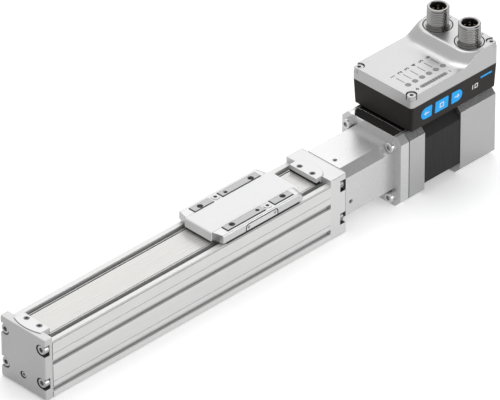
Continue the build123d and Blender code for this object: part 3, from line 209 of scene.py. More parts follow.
SIDE_COVER_HEIGHT = 3.3
SIDE_COVER_CORNER = 1.6
COVER_TOP = 64.6
BOX_FRONT = 150.5
BOX_HALF = 21.4
DOT_COUNT = 6
DOT_START = 7.6
DOT_PITCH = 5.1
DOT_Y = -11.5
BAR_START = 10.5
BAR_LENGTH = 19.3
BAR_Y = -17.6
BAR_WIDTH = 2.1
LENS_STAND = 0.05
RIM_UNDER = 57.4
PLATEAU_TOP = 70.4
CONNECTOR_X = 203.4
CONNECTOR_Y = 11.3
BUTTON_CENTRES = {"left": 162.0, "centre": 173.2, "right": 184.4}
BUTTON_Z = 49.9
BUTTON_PROUD = 0.2
BOX_DRAFT = 3.6

# Faces that take their own tone, polish or painted shade, as opposite corners of a box in millimetres
PROFILE_BOX = ((-PROFILE_END, -PROFILE_SIDE, 0), (PROFILE_END, PROFILE_SIDE, PROFILE_TOP))
CARRIER_BOX = ((-PROFILE_END, -PROFILE_SIDE, 0), (PROFILE_END, PROFILE_SIDE, CARRIER_TOP))
CARRIER_EDGE_SHADE = ((-PROFILE_END, -PROFILE_SIDE, CARRIER_TOP - 0.05),
                (PROFILE_END, -CARRIER_LIT_EDGE, PROFILE_TOP))
PAD_FACES = ((0, -PROFILE_SIDE, SLIDE_TOP + 0.1), (PROFILE_END, PROFILE_SIDE, PAD_TOP + 1))
FLANGE_UPPER_FACE = ((143.2, -15.6, 41.0), (149.3, 15.6, 42.5))
BELL_UPPER_FACE = ((149.0, -15.6, 41.0), (160.0, 15.6, 42.5))
FRONT_CAP_HOLE_SHADE = ((-102.5, -15.8, -1.0), (-97.6, 15.8, 31.0))
DRIVE_CAP_POCKET_SHADE = ((97.6, -15.8, -1.0), (108.4, 15.8, 31.0))


def grey(value):
    """Neutral colour of one linear value."""
    return (value, value, value)


def scaled(colour, share):
    """Colour with every channel taken by one share."""
    return tuple(c * share for c in colour)


def add_camera():
    """Camera at the photograph's place."""
    azimuth = math.radians(VIEW_AZIMUTH)
    elevation = math.radians(VIEW_ELEVATION)
    back = Vector((math.sin(azimuth) * math.cos(elevation), -math.cos(azimuth) * math.cos(elevation),
                   math.sin(elevation)))
    right = (-back).cross(Vector((0, 0, 1))).normalized()
    up = right.cross(-back)
    roll = math.radians(VIEW_ROLL)
    right, up = right * math.cos(roll) + up * math.sin(roll), up * math.cos(roll) - right * math.sin(roll)
    place = Vector(VIEW_TARGET) * MM + back * VIEW_DISTANCE * MM
    data = bpy.data.cameras.new("view_camera")
    data.sensor_width = SENSOR_WIDTH
    data.lens = VIEW_FOCAL_PIXELS * SENSOR_WIDTH / IMAGE_WIDTH
    data.clip_end = 100
    camera = bpy.data.objects.new("view_camera", data)
    camera.matrix_world = Matrix((
        (right.x, up.x, back.x, place.x), (right.y, up.y, back.y, place.y),
        (right.z, up.z, back.z, place.z), (0, 0, 0, 1)))
    bpy.context.scene.collection.objects.link(camera)
    bpy.context.scene.camera = camera


def add_shown_factor(tree):
    """Factor that is one for rays that show a surface: seen, mirrored or through glass."""
    path = tree.nodes.new("ShaderNodeLightPath")
    mirrored = tree.nodes.new("ShaderNodeMath")
    mirrored.operation = "MAXIMUM"
    tree.links.new(path.outputs["Is Camera Ray"], mirrored.inputs[0])
    tree.links.new(path.outputs["Is Glossy Ray"], mirrored.inputs[1])
    shown = tree.nodes.new("ShaderNodeMath")
    shown.operation = "MAXIMUM"
    tree.links.new(mirrored.outputs[0], shown.inputs[0])
    tree.links.new(path.outputs["Is Transmission Ray"], shown.inputs[1])
    return shown.outputs[0]


def add_lamp(name, place, aim, size, strength):
    """Large soft area lamp that looks at a point."""
    data = bpy.data.lights.new(name, "AREA")
    data.shape = "RECTANGLE"
    data.size, data.size_y = size
    data.energy = strength
    lamp = bpy.data.objects.new(name, data)
    lamp.location = place
    lamp.rotation_euler = (Vector(aim) - Vector(place)).to_track_quat("-Z", "Y").to_euler()
    bpy.context.scene.collection.objects.link(lamp)


def add_light():
    """Soft studio lamps above, beside, before and behind the part, and plain surroundings."""
    middle = Vector(VIEW_TARGET) * MM
    for name, (offset, size, strength) in LAMPS.items():
        add_lamp(name, middle + Vector(offset), middle, size, strength)
    world = bpy.data.worlds.new("surroundings")
    bpy.context.scene.world = world
    world.use_nodes = True
    tree = world.node_tree
    tree.nodes.clear()
    plain = tree.nodes.new("ShaderNodeBackground")
    plain.inputs["Color"].default_value = (1, 1, 1, 1)
    plain.inputs["Strength"].default_value = SURROUND_LIGHT
    white = tree.nodes.new("ShaderNodeBackground")
    white.inputs["Color"].default_value = (1, 1, 1, 1)
    white.inputs["Strength"].default_value = 1.0
    mix = tree.nodes.new("ShaderNodeMixShader")
    out = tree.nodes.new("ShaderNodeOutputWorld")
    tree.links.new(add_shown_factor(tree), mix.inputs[0])
    tree.links.new(plain.outputs[0], mix.inputs[1])
    tree.links.new(white.outputs[0], mix.inputs[2])
    tree.links.new(mix.outputs[0], out.inputs["Surface"])


def add_edge_card():
    """Dark card out of view, seen only in reflections, which gives bare metal its darker flanks."""
    direction = Vector(CARD_DIRECTION)
    half = CARD_SIZE / 2
    corners = [(-half, -half, 0), (half, -half, 0), (half, half, 0), (-half, half, 0)]
    mesh = bpy.data.meshes.new("edge_card")
    mesh.from_pydata(corners, [], [(0, 1, 2, 3)])
    material = bpy.data.materials.new("dark_card")
    material.use_nodes = True
    shader = material.node_tree.nodes["Principled BSDF"]
    shader.inputs["Base Color"].default_value = (*grey(CARD_TONE), 1)
    shader.inputs["Roughness"].default_value = CARD_ROUGHNESS
    mesh.materials.append(material)
    card = bpy.data.objects.new("edge_card", mesh)
    card.location = Vector(VIEW_TARGET) * MM + direction.normalized() * CARD_DISTANCE
    card.rotation_euler = (-direction).to_track_quat("Z", "Y").to_euler()
    card.visible_camera = False
    card.visible_diffuse = False
    card.visible_shadow = False
    bpy.context.scene.collection.objects.link(card)


class Finish:
    """Node material under construction, with short helpers for its procedural parts."""

    def __init__(self, name, colour, roughness, metallic=0.0, specular=0.5, coat=0.0):
        self.material = bpy.data.materials.new(name)
        self.material.use_nodes = True
        self.tree = self.material.node_tree
        self.shader = self.tree.nodes["Principled BSDF"]
        self.shader.inputs["Base Color"].default_value = (*colour, 1)
        self.shader.inputs["Roughness"].default_value = roughness
        self.shader.inputs["Metallic"].default_value = metallic
        self.shader.inputs["Specular IOR Level"].default_value = specular
        self.shader.inputs["Coat Weight"].default_value = coat
        self.colour = colour
        self.roughness = roughness
        self.normal = None

    def add(self, kind, **values):
        """New node with its input values set."""
        node = self.tree.nodes.new(kind)
        for key, value in values.items():
            node.inputs[key.replace("_", " ")].default_value = value
        return node

    def link(self, source, target):
        """Join an output to an input."""
        self.tree.links.new(source, target)

    def place(self, stretch=(1, 1, 1), turn=(0, 0, 0)):
        """Object coordinates in metres, stretched and turned."""
        coordinates = self.tree.nodes.new("ShaderNodeTexCoord")
        mapping = self.add("ShaderNodeMapping", Scale=stretch, Rotation=turn)
        self.link(coordinates.outputs["Object"], mapping.inputs["Vector"])
        return mapping.outputs["Vector"]

    def noise(self, scale, detail=3.0, stretch=(1, 1, 1)):
        """Noise value, its scale counted per metre."""
        node = self.add("ShaderNodeTexNoise", Scale=scale, Detail=detail, Roughness=0.55)
        self.link(self.place(stretch), node.inputs["Vector"])
        return node.outputs["Fac"]

    def span(self, value, low, high, from_low=0.35, from_high=0.65):
        """Value remapped to run from low to high."""
        node = self.tree.nodes.new("ShaderNodeMapRange")
        node.inputs["From Min"].default_value = from_low
        node.inputs["From Max"].default_value = from_high
        node.inputs["To Min"].default_value = low
        node.inputs["To Max"].default_value = high
        self.link(value, node.inputs["Value"])
        return node.outputs["Result"]

    def tint(self, factor, other):
        """Base colour mixed towards another colour by a factor."""
        mix = self.tree.nodes.new("ShaderNodeMix")
        mix.data_type = "RGBA"
        self.link(factor, mix.inputs["Factor"])
        current = self.shader.inputs["Base Color"]
        if current.is_linked:
            self.link(current.links[0].from_socket, mix.inputs["A"])
        else:
            mix.inputs["A"].default_value = current.default_value
        mix.inputs["B"].default_value = (*other, 1)
        self.link(mix.outputs["Result"], current)

    def polish(self, factor, metallic, roughness):
        """Metallic and roughness mixed towards those of a polished face by a factor."""
        for key, value in (("Metallic", metallic), ("Roughness", roughness)):
            socket = self.shader.inputs[key]
            mix = self.tree.nodes.new("ShaderNodeMix")
            self.link(factor, mix.inputs["Factor"])
            if socket.is_linked:
                self.link(socket.links[0].from_socket, mix.inputs["A"])
            else:
                mix.inputs["A"].default_value = socket.default_value
            mix.inputs["B"].default_value = value
            self.link(mix.outputs["Result"], socket)

    def bump(self, height, strength, distance):
        """Bump from a height value, laid over any bump that is there already."""
        node = self.add("ShaderNodeBump", Strength=strength, Distance=distance)
        self.link(height, node.inputs["Height"])
        if self.normal is not None:
            self.link(self.normal, node.inputs["Normal"])
        self.normal = node.outputs["Normal"]
        self.link(self.normal, self.shader.inputs["Normal"])

    def round_edges(self, radius):
        """Soft edges that catch the light."""
        node = self.tree.nodes.new("ShaderNodeBevel")
        node.samples = EDGE_SAMPLES
        node.inputs["Radius"].default_value = radius
        self.normal = node.outputs["Normal"]
        self.link(self.normal, self.shader.inputs["Normal"])

    def paint_gap_shade(self, reach, depth, full=0.15, none=0.48):
        """Painted shade: darker base colour in narrow gaps and holes, where ambient occlusion finds them
        closed in.
        """
        node = self.add("ShaderNodeAmbientOcclusion", Distance=reach)
        node.samples = EDGE_SAMPLES
        self.tint(self.span(node.outputs["AO"], 1.0, 0.0, full, none), scaled(self.colour, depth))

    def math(self, operation, first, second=0.0):
        """Result of one arithmetic step on two values, each a number or another node's output."""
        node = self.tree.nodes.new("ShaderNodeMath")
        node.operation = operation
        for socket, value in zip(node.inputs, (first, second)):
            if isinstance(value, (int, float)):
                socket.default_value = value
            else:
                self.link(value, socket)
        return node.outputs[0]

    def inside(self, low, high, skin=0.12):
        """One on faces deeper than a skin inside the box between two corners in millimetres."""
        split = self.tree.nodes.new("ShaderNodeSeparateXYZ")
        self.link(self.place(), split.inputs[0])
        factor = 1.0
        for axis, a, b in zip("XYZ", low, high):
            middle, half = (a + b) / 2 * MM, (b - a) / 2 * MM
            away = self.math("ABSOLUTE", self.math("SUBTRACT", split.outputs[axis], middle))
            inner = self.span(away, 1.0, 0.0, half - skin * MM, half - skin * MM / 2)
            factor = self.math("MULTIPLY", inner, factor)
        return factor

    def vary_roughness(self, value, spread):
        """Roughness that wanders around its written value."""
        self.link(self.span(value, self.roughness - spread, self.roughness + spread),
                  self.shader.inputs["Roughness"])


def metal(name, colour, roughness, metallic, grain, stretch=(1, 1, 1), edge=0.15, bump=0.05, gap=GAP_REACH):
    """Metal with edge rounding, grain, faint cloudiness, uneven gloss and painted shade in narrow gaps."""
    finish = Finish(name, colour, roughness, metallic)
    finish.round_edges(edge * MM)
    grain_value = finish.noise(grain, 4.0, stretch)
    cloud_value = finish.noise(CLOUD_SCALE, 2.0)
    finish.tint(finish.span(cloud_value, 0.0, CLOUD_MIX), scaled(colour, 0.93))
    finish.tint(finish.span(grain_value, 0.0, GRAIN_MIX), scaled(colour, GRAIN_SHADE))
    # Painted shade in narrow gaps and holes
    finish.paint_gap_shade(gap * MM, depth=0.25)
    finish.vary_roughness(grain_value, spread=0.05)
    finish.bump(grain_value, bump, GRAIN_HEIGHT * MM)
    return finish


def moulding(name, colour, roughness, grain, bump, edge=0.2, specular=0.45):
    """Moulded plastic or rubber with a fine spark-eroded texture."""
    finish = Finish(name, colour, roughness, 0.0, specular)
    finish.round_edges(edge * MM)
    grain_value = finish.noise(grain, 2.0)
    cloud_value = finish.noise(MOULDED_CLOUD_SCALE, 3.0)
    lighter = tuple(min(1.0, c * 1.25 + 0.004) for c in colour)
    finish.tint(finish.span(cloud_value, 0.0, 0.2), lighter)
    # Painted shade in narrow gaps and holes
    finish.paint_gap_shade(GAP_REACH * MM, depth=0.3, full=0.3, none=0.62)
    finish.vary_roughness(cloud_value, spread=0.06)
    finish.bump(grain_value, bump, 0.03 * MM)
    return finish


def extruded(name, colour, roughness, metallic, hollow_shade, box, edge=0.12):
    """Extruded aluminium with grain along the travel, and painted shade on the faces inside its slots and
    channels.
    """
    finish = Finish(name, colour, roughness, metallic)
    finish.round_edges(edge * MM)
    grain_value = finish.noise(2600.0, 4.0, (0.02, 1, 1))
    cloud_value = finish.noise(CLOUD_SCALE, 2.0)
    finish.tint(finish.span(cloud_value, 0.0, CLOUD_MIX), scaled(colour, 0.95))
    finish.tint(finish.span(grain_value, 0.0, GRAIN_MIX), scaled(colour, GRAIN_SHADE))
    # Painted shade in narrow gaps and holes
    finish.paint_gap_shade(GAP_REACH * MM, depth=0.3)
    # Painted shade on the faces inside the slots and channels
    finish.tint(finish.inside(*box), hollow_shade)
    finish.vary_roughness(grain_value, spread=0.05)
    finish.bump(grain_value, 0.05, GRAIN_HEIGHT * MM)
    return finish


def laminated(name, colour):
    """Stack of thin sheets seen from the side, square to the travel."""
    finish = Finish(name, colour, 0.55, 0.0, 0.25)
    wave = finish.add("ShaderNodeTexWave", Scale=SHEETS_PER_METRE, Distortion=0.6, Detail=1.0)
    wave.wave_type = "BANDS"
    wave.bands_direction = "X"
    finish.link(finish.place(), wave.inputs["Vector"])
    uneven = finish.noise(500.0, 2.0, (12, 0.3, 0.3))
    finish.tint(finish.span(wave.outputs["Fac"], 0.0, 0.8, 0.2, 1.0), scaled(colour, 4.5))
    finish.tint(finish.span(uneven, 0.0, 0.6), scaled(colour, 0.5))
    finish.bump(wave.outputs["Fac"], 0.6, 0.08 * MM)
    return finish


def with_patch(finish, low, high, colour):
    """The finish with another colour on what lies inside the box between two corners in millimetres."""
    finish.tint(finish.inside(low, high, PATCH_SKIN), colour)
    return finish


def with_polish(finish, low, high):
    """The finish with bare polished metal on what lies inside the box between two corners in millimetres."""
    finish.polish(finish.inside(low, high, PATCH_SKIN), 1.0, POLISHED_ROUGHNESS)
    return finish


# Finishes, their colours as linear values
finishes = {
    # The extrusion's second colour is painted shade inside its slots and channels
    "anodised_aluminium": extruded("anodised_extrusion", (0.74, 0.74, 0.735), 0.38, 0.25,
                                   (0.62, 0.62, 0.615), PROFILE_BOX),
    "machined_aluminium": metal("milled_aluminium", grey(0.70), 0.36, 0.35, 4200.0, edge=0.30, bump=0.04),
    "cast_aluminium": metal("cast_aluminium", grey(0.435), 0.34, 0.9, 5200.0, edge=0.25, bump=0.08),
    "steel_strip": metal("brushed_strip", (0.585, 0.58, 0.565), 0.32, 0.4, 3000.0,
                         stretch=(0.01, 1, 1), edge=0.02, bump=0.03, gap=1.5),
    "screw_steel": metal("galvanised_screws", grey(0.42), 0.32, 0.8, 2600.0, edge=0.12, bump=0.03, gap=1.4),
    "ground_steel": metal("ground_steel", (0.55, 0.55, 0.56), 0.25, 0.8, 2600.0,
                          stretch=(0.05, 1, 1), edge=0.1, bump=0.03),
    "nickel_plate": metal("nickel_plate", (0.33, 0.327, 0.323), 0.16, 0.95, 1800.0,
                          edge=0.02, bump=0.01, gap=0.3),
    "gold_contact": metal("gold_contact", (0.07, 0.05, 0.025), 0.3, 0.8, 2600.0, edge=0.05, bump=0.03),
    "copper_winding": metal("copper_winding", (0.55, 0.22, 0.09), 0.35, 0.6, 2400.0,
                            stretch=(0.1, 1, 1), edge=0.05, bump=0.2),
    "black_oxide": metal("black_oxide", grey(0.03), 0.45, 0.4, 2600.0, edge=0.1),
    "slide_polymer": moulding("slide_polymer", (0.86, 0.86, 0.865), 0.36, 2600.0, 0.03, 0.2),
    "black_housing": moulding("black_housing", (0.014, 0.0115, 0.0105), 0.5, 3200.0, 0.25, 0.3, 0.16),
    "blue_button": moulding("blue_button", (0.012, 0.42, 1.0), 0.45, 2600.0, 0.06, 0.15, 0.3),
    "grey_lens": moulding("grey_lens", grey(0.21), 0.3, 1500.0, 0.03, 0.05),
    "contact_insert": moulding("contact_insert", grey(0.012), 0.5, 2600.0, 0.1, 0.1, 0.25),
    "seal_rubber": moulding("seal_rubber", grey(0.012), 0.65, 2200.0, 0.1, 0.1, 0.25),
    "buffer_rubber": moulding("buffer_rubber", grey(0.015), 0.7, 2200.0, 0.1, 0.2),
    "board_laminate": moulding("board_laminate", (0.02, 0.14, 0.05), 0.4, 2600.0, 0.05, 0.05),
    "lamination_steel": laminated("lamination_stack", grey(0.0045)),
    "seam": moulding("seam_shadow", grey(0.02), 0.7, 2600.0, 0.05, 0.02, 0.1),
    "score": moulding("score_shadow", grey(0.22), 0.6, 2600.0, 0.05, 0.02, 0.2),
    # Dark print, also used for the lines of painted shade and dark reflection along the profile's edges
    "print": moulding("dark_print_and_shade", grey(0.035), 0.6, 2600.0, 0.05, 0.02, 0.2),
    "white_print": moulding("white_print", grey(0.85), 0.5, 2600.0, 0.03, 0.02, 0.3),
}

# Nodes whose finish differs from the rest of their slot
bright_screws = metal("bright_screws", grey(0.62), 0.24, 0.85, 2600.0, edge=0.12, bump=0.03)
front_bell = metal("front_bell", grey(0.44), 0.28, 0.85, 5200.0, edge=0.2, bump=0.004)
rear_bell = metal("rear_bell", grey(0.41), 0.28, 0.85, 5200.0, edge=0.2, bump=0.004)
# Darker copy of the milled aluminium for the front cap: painted shade for its front face, which the lamps
# light least
front_cap = metal("front_cap_shaded_aluminium", grey(0.58), 0.36, 0.4, 4200.0, edge=0.12, bump=0.04)
drive_cap = metal("drive_cap_aluminium", grey(0.70), 0.36, 0.35, 4200.0, edge=0.12, bump=0.04)
neck = metal("neck_aluminium", grey(0.60), 0.30, 0.7, 4200.0, edge=0.12, gap=0.2)
slide = metal("slide_aluminium", (0.55, 0.55, 0.555), 0.32, 0.75, 4200.0, edge=0.2, bump=0.03, gap=0.3)
# The carrier's second colour is painted shade on its faces inside the profile
carrier = extruded("strip_carrier", (0.74, 0.74, 0.735), 0.38, 0.25, (0.66, 0.66, 0.65), CARRIER_BOX,
                   edge=0.02)
node_finishes = {
    "motor_front_bell": with_polish(front_bell, *BELL_UPPER_FACE),
    "motor_rear_bell": rear_bell,
    # Dark grey inside the front cap's counterbores and holes: painted shade
    "front_end_cap": with_patch(front_cap, *FRONT_CAP_HOLE_SHADE, grey(0.10)),
    "coupling_housing": with_polish(neck, *FLANGE_UPPER_FACE),
    "carriage_plate": with_patch(slide, *PAD_FACES, (0.34, 0.34, 0.345)),
    # Near-black band on the carrier's top edge beside the -Y slot: painted shade
    "strip_carrier": with_patch(carrier, *CARRIER_EDGE_SHADE, (0.07, 0.07, 0.068)),
    # Near-black inside the drive cap's pockets and holes: painted shade
    "drive_cap": with_patch(drive_cap, *DRIVE_CAP_POCKET_SHADE, grey(0.05)),
    # The drive cap's screws take a darker copy of the screw steel: painted shade of their pockets
    "drive_cap_screws": metal("drive_cap_screws", grey(0.22), 0.4, 0.8, 2600.0,
                              edge=0.12, bump=0.03, gap=1.4),
    "flange_screws": bright_screws,
    "flange_washers": bright_screws,
    "centring_sleeves": metal("sleeve_steel", grey(0.55), 0.35, 0.6, 2600.0, edge=0.05, bump=0.03, gap=0.2),
    "carriage_cover": moulding("cover_polymer", (0.90, 0.90, 0.905), 0.36, 2600.0, 0.03, 0.2),
    # The clamp screws take dark grey all over: painted shade of their sockets and countersinks
    "clamp_screws": metal("shaded_clamp_screws", grey(0.12), 0.3, 0.8, 2600.0, edge=0.1, bump=0.03, gap=1.4),
}


def dress_nodes():
    """Give every CAD node its procedural finish."""
    slot_of = {entry["node"]: entry["material_slot"] for entry in frame["record"]["subparts"]}
    for name, piece in nodes.items():
        piece.data.materials.clear()
        piece.data.materials.append(node_finishes.get(name, finishes[slot_of[name]]).material)


def add_piece(name, vertices, faces, finish, body="frame"):
    """New mesh piece from points in millimetres, dressed and riding on a body."""
    mesh = bpy.data.meshes.new(name)
    mesh.from_pydata([tuple(c * MM for c in vertex) for vertex in vertices], [], faces)
    mesh.validate()
    work = bmesh.new()
    work.from_mesh(mesh)
    bmesh.ops.recalc_face_normals(work, faces=work.faces)
    work.to_mesh(mesh)
    work.free()
    mesh.materials.append(finish.material)
    piece = bpy.data.objects.new(name, mesh)
    bpy.context.scene.collection.objects.link(piece)
    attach(piece, body)
    return piece


class Relief:
    """Points and faces of thin raised shapes, gathered into one piece."""

    def __init__(self):
        self.vertices = []
        self.faces = []

    def prism(self, loop, lift):
        """Closed loop of points with a top face and walls, lifted along a vector."""
        first = len(self.vertices)
        count = len(loop)
        self.vertices += [tuple(p) for p in loop]
        self.vertices += [tuple(a + b for a, b in zip(p, lift)) for p in loop]
        self.faces.append(tuple(range(first, first + count)))
        self.faces.append(tuple(range(first + count, first + 2 * count)))
        for i in range(count):
            j = (i + 1) % count
            self.faces.append((first + i, first + j, first + count + j, first + count + i))

    def ribbon(self, line, width_of, lift):
        """Band along a line of points, as wide as the side vectors given for each point."""
        for i in range(len(line) - 1):
            a, b = Vector(line[i]), Vector(line[i + 1])
            self.prism([a, b, b + Vector(width_of[i + 1]), a + Vector(width_of[i])], lift)

    def bar(self, low, high):
        """Upright box between two opposite corners."""
        x0, y0, z0 = low
        x1, y1, z1 = high
        self.prism([(x0, y0, z0), (x1, y0, z0), (x1, y1, z0), (x0, y1, z0)], (0, 0, z1 - z0))

    def piece(self, name, finish, slot_name, body="frame"):
        """The gathered shapes as one piece."""
        return add_piece(name, self.vertices, self.faces, finish, body)


def arc_points(corner, bulge, outwards, grow, count=24):
    """Points of a clamp's curved edge, a circular arc through its two corners and its crown."""
    half = CLAMP_HALF + grow
    radius = (half * half + bulge * bulge) / (2 * bulge)
    centre = corner + outwards * (grow + bulge - radius)
    sweep = math.asin(half / radius)
    angles = [sweep * (2 * i / count - 1) for i in range(count + 1)]
    return [(centre + outwards * radius * math.cos(a), radius * math.sin(a)) for a in angles]


def add_seams():
    """Painted shade beside the strip, round the clamp arcs, under the drive clamp, in the score grooves and
    along edges, seams at the front end and the cap's edge fill.
    """
    seams = Relief()
    # Dark bars along both edges of the strip: painted shade of the gaps beside it
    near_in, near_out = NEAR_STRIP_SHADE
    seams.bar((-PROFILE_END, -STRIP_HALF - near_out, CARRIER_TOP),
              (PROFILE_END, -STRIP_HALF - near_in, CARRIER_TOP + LINE_LIFT))
    far_in, far_out = FAR_STRIP_SHADE
    seams.bar((-PROFILE_END, STRIP_HALF + far_in, CARRIER_TOP),
              (PROFILE_END, STRIP_HALF + far_out, STRIP_TOP + LINE_LIFT / 2))
    clamp_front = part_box("drive_strip_clamp")[0].x / MM
    shade_top = STRIP_TOP + CLAMP_SHADE
    seams.bar((clamp_front - LINE_LIFT, -CLAMP_HALF, STRIP_TOP), (clamp_front, CLAMP_HALF, shade_top))
    seams.bar((clamp_front, -CLAMP_HALF - LINE_LIFT, STRIP_TOP),
              (clamp_front + CLAMP_SHADE_RETURN, -CLAMP_HALF, shade_top))
    for side in (-1, 1):
        y0, y1 = sorted((side * PROFILE_SIDE, side * (PROFILE_SIDE + LINE_LIFT)))
        for low, high in END_SEAM_SPANS:
            seams.bar((-PROFILE_END, y0, low), (-PROFILE_END + END_SEAM_WIDTH, y1, high))
    # Dark ribbons round the clamps' curved edges on the caps: painted shade under the raised clamps
    for (corner, bulge), outwards in ((FRONT_CLAMP_ARC, -1), (DRIVE_CLAMP_ARC, 1)):
        inner = arc_points(corner, bulge, outwards, 0.0)
        outer = arc_points(corner, bulge, outwards, FRONT_ARC_SHADE if outwards < 0 else DRIVE_ARC_SHADE)
        line = [(x, y, CAP_TOP) for x, y in inner]
        sides = [(b[0] - a[0], b[1] - a[1], 0) for a, b in zip(inner, outer)]
        seams.ribbon(line, sides, (0, 0, LINE_LIFT))
    seams.piece("plate_seams_and_shade", finishes["seam"], "black_oxide")

    fill = Relief()
    half = PROFILE_SIDE - CAP_CHAMFER
    fill.prism([(NECK_START - CAP_CHAMFER, -half, CAP_TOP), (NECK_START, -half, CAP_TOP),
                (NECK_START, -half, CAP_TOP - CAP_CHAMFER)], (0, 2 * half, 0))
    fill.piece("cap_edge_fill", finishes["machined_aluminium"], "machined_aluminium")

    scores = Relief()
    edges = Relief()
    for side in (-1, 1):
        groove = PROFILE_SIDE - SCORE_DEPTH
        y0, y1 = sorted((side * groove, side * (groove - SCORE_THICKNESS)))
        for z in SCORE_HEIGHTS:
            scores.bar((-PROFILE_END, y0, z - SCORE_HALF_WIDTH), (PROFILE_END, y1, z + SCORE_HALF_WIDTH))
        # Dark lines along the profile's upper side edges and the drive cap's top side edges: painted shade
        # and dark reflection of the edges
        y0, y1 = sorted((side * PROFILE_SIDE, side * (PROFILE_SIDE + PRINT_LIFT)))
        low, high = (EDGE_SHADE_HEIGHT + away for away in EDGE_SHADE_SPAN)
        edges.bar((-PROFILE_END, y0, low), (PROFILE_END, y1, high))
        low, high = (CAP_TOP + away for away in CAP_SHADE_SPAN)
        edges.bar((PROFILE_END + CAP_SHADE_INSETS[0], y0, low), (NECK_START - CAP_SHADE_INSETS[1], y1, high))
    # Dark bar on the -Y rail lip beside the slot: painted shade
    edges.bar((-PROFILE_END, -LIP_EDGE - LIP_SHADE, PROFILE_TOP),
              (PROFILE_END, -LIP_EDGE, PROFILE_TOP + LINE_LIFT / 2))
    scores.piece("profile_score_lines", finishes["score"], "anodised_aluminium")
    edges.piece("profile_edge_shade_lines", finishes["print"], "anodised_aluminium")


def add_slide_seams():
    """Painted shade round the slide's pads and outlines of its side covers; black wipers on the strip and
    lips along the sides, which also stand in for the shade in the gaps under the slide.
    """
    seams = Relief()
    # Dark outlines round the pads, wider on the near sides: painted shade of the pads' step faces
    near, far = PAD_SHADE_NEAR, PAD_SHADE_FAR
    for side in (-1, 1):
        for a, b in ((-PAD_REACH, PAD_NEAR_END), (PAD_FAR_START, PAD_REACH)):
            x0, x1 = sorted((SLIDE_HOME - side * a, SLIDE_HOME - side * b))
            y0, y1 = sorted((side * PAD_INNER, side * PAD_OUTER))
            z0, z1 = SLIDE_TOP, PAD_TOP - PAD_LINE_DROP
            seams.bar((x0 - near, y0 - near, z0), (x0, y1 + far, z1))
            seams.bar((x1, y0 - near, z0), (x1 + far, y1 + far, z1))
            seams.bar((x0, y0 - near, z0), (x1, y0, z1))
            seams.bar((x0, y1, z0), (x1, y1 + far, z1))
    for side in (-1, 1):
        face = side * PROFILE_SIDE
        half = SIDE_COVER_HALF
        low = SLIDE_UNDER
        high = SLIDE_UNDER + SIDE_COVER_HEIGHT
        turn = SIDE_COVER_CORNER
        steps = [math.pi / 2 * i / 6 for i in range(7)]
        loop = [(half, low)]
        loop += [(half - turn + turn * math.cos(t), high - turn + turn * math.sin(t)) for t in steps]
        loop += [(-x, z) for x, z in reversed(loop)]
        outer = []
        for x, z in loop:
            outward = Vector((x - max(-half + turn, min(half - turn, x)), z - min(high - turn, z)))
            if outward.length == 0:
                outward = Vector((0, 1))
            elif z <= low:
                outward = Vector((math.copysign(1, x), 0))
            outer.append(Vector((x, z)) + outward.normalized() * SIDE_COVER_LINE)
        line = [(SIDE_COVER_X + x, face, z) for x, z in loop]
        sides = [(o.x - x, 0, o.y - z) for o, (x, z) in zip(outer, loop)]
        seams.ribbon(line, sides, (0, side * OUTLINE_LIFT, 0))
    seams.piece("slide_seams_and_shade", finishes["seam"], "black_oxide", "carriage")

    # Black rubber wipers at the slide's ends and lips along its sides, which also stand in for the shade in
    # the gaps under it
    wipers = Relief()
    for end in (-1, 1):
        outer = SLIDE_HOME + end * (SLIDE_COVER_HALF_LENGTH - WIPER_INSET)
        inner = outer - end * WIPER_LENGTH
        tip = outer - end * WIPER_TIP
        root = SLIDE_UNDER - WIPER_ROOT
        rest = STRIP_TOP + STRIP_CLEARANCE
        section = [(outer, root), (outer, STRIP_TOP + WIPER_ROOT), (tip, rest),
                   (tip - end * WIPER_EDGE, rest), (inner, STRIP_TOP + WIPER_BACK), (inner, root)]
        wipers.prism([(x, -STRIP_HALF, z) for x, z in section], (0, 2 * STRIP_HALF, 0))
    plate_low, plate_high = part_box("carriage_plate")
    for side in (-1, 1):
        y0, y1 = sorted(side * (PROFILE_SIDE - inset) for inset in SIDE_LIP_SPAN)
        wipers.bar((plate_low.x / MM + SIDE_LIP_END, y0, PROFILE_TOP + SIDE_LIP_CLEARANCE),
                   (plate_high.x / MM - SIDE_LIP_END, y1, SLIDE_UNDER))
    wipers.piece("strip_wipers", finishes["seal_rubber"], "seal_rubber", "carriage")


def add_text(name, words, place, size, turn, finish, body="frame"):
    """Flat printed figure on a level face, its reading direction turned about the upright axis."""
    curve = bpy.data.curves.new(name, "FONT")
    curve.body = words
    curve.size = size * MM
    curve.align_x = "CENTER"
    curve.align_y = "CENTER"
    curve.extrude = PRINT_THICKNESS * MM
    curve.offset = PRINT_BOLDNESS * MM
    curve.materials.append(finish.material)
    figure = bpy.data.objects.new(name, curve)
    figure.location = tuple(c * MM for c in place)
    figure.rotation_euler = (0, 0, math.radians(turn))
    bpy.context.scene.collection.objects.link(figure)
    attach(figure, body)
    return figure


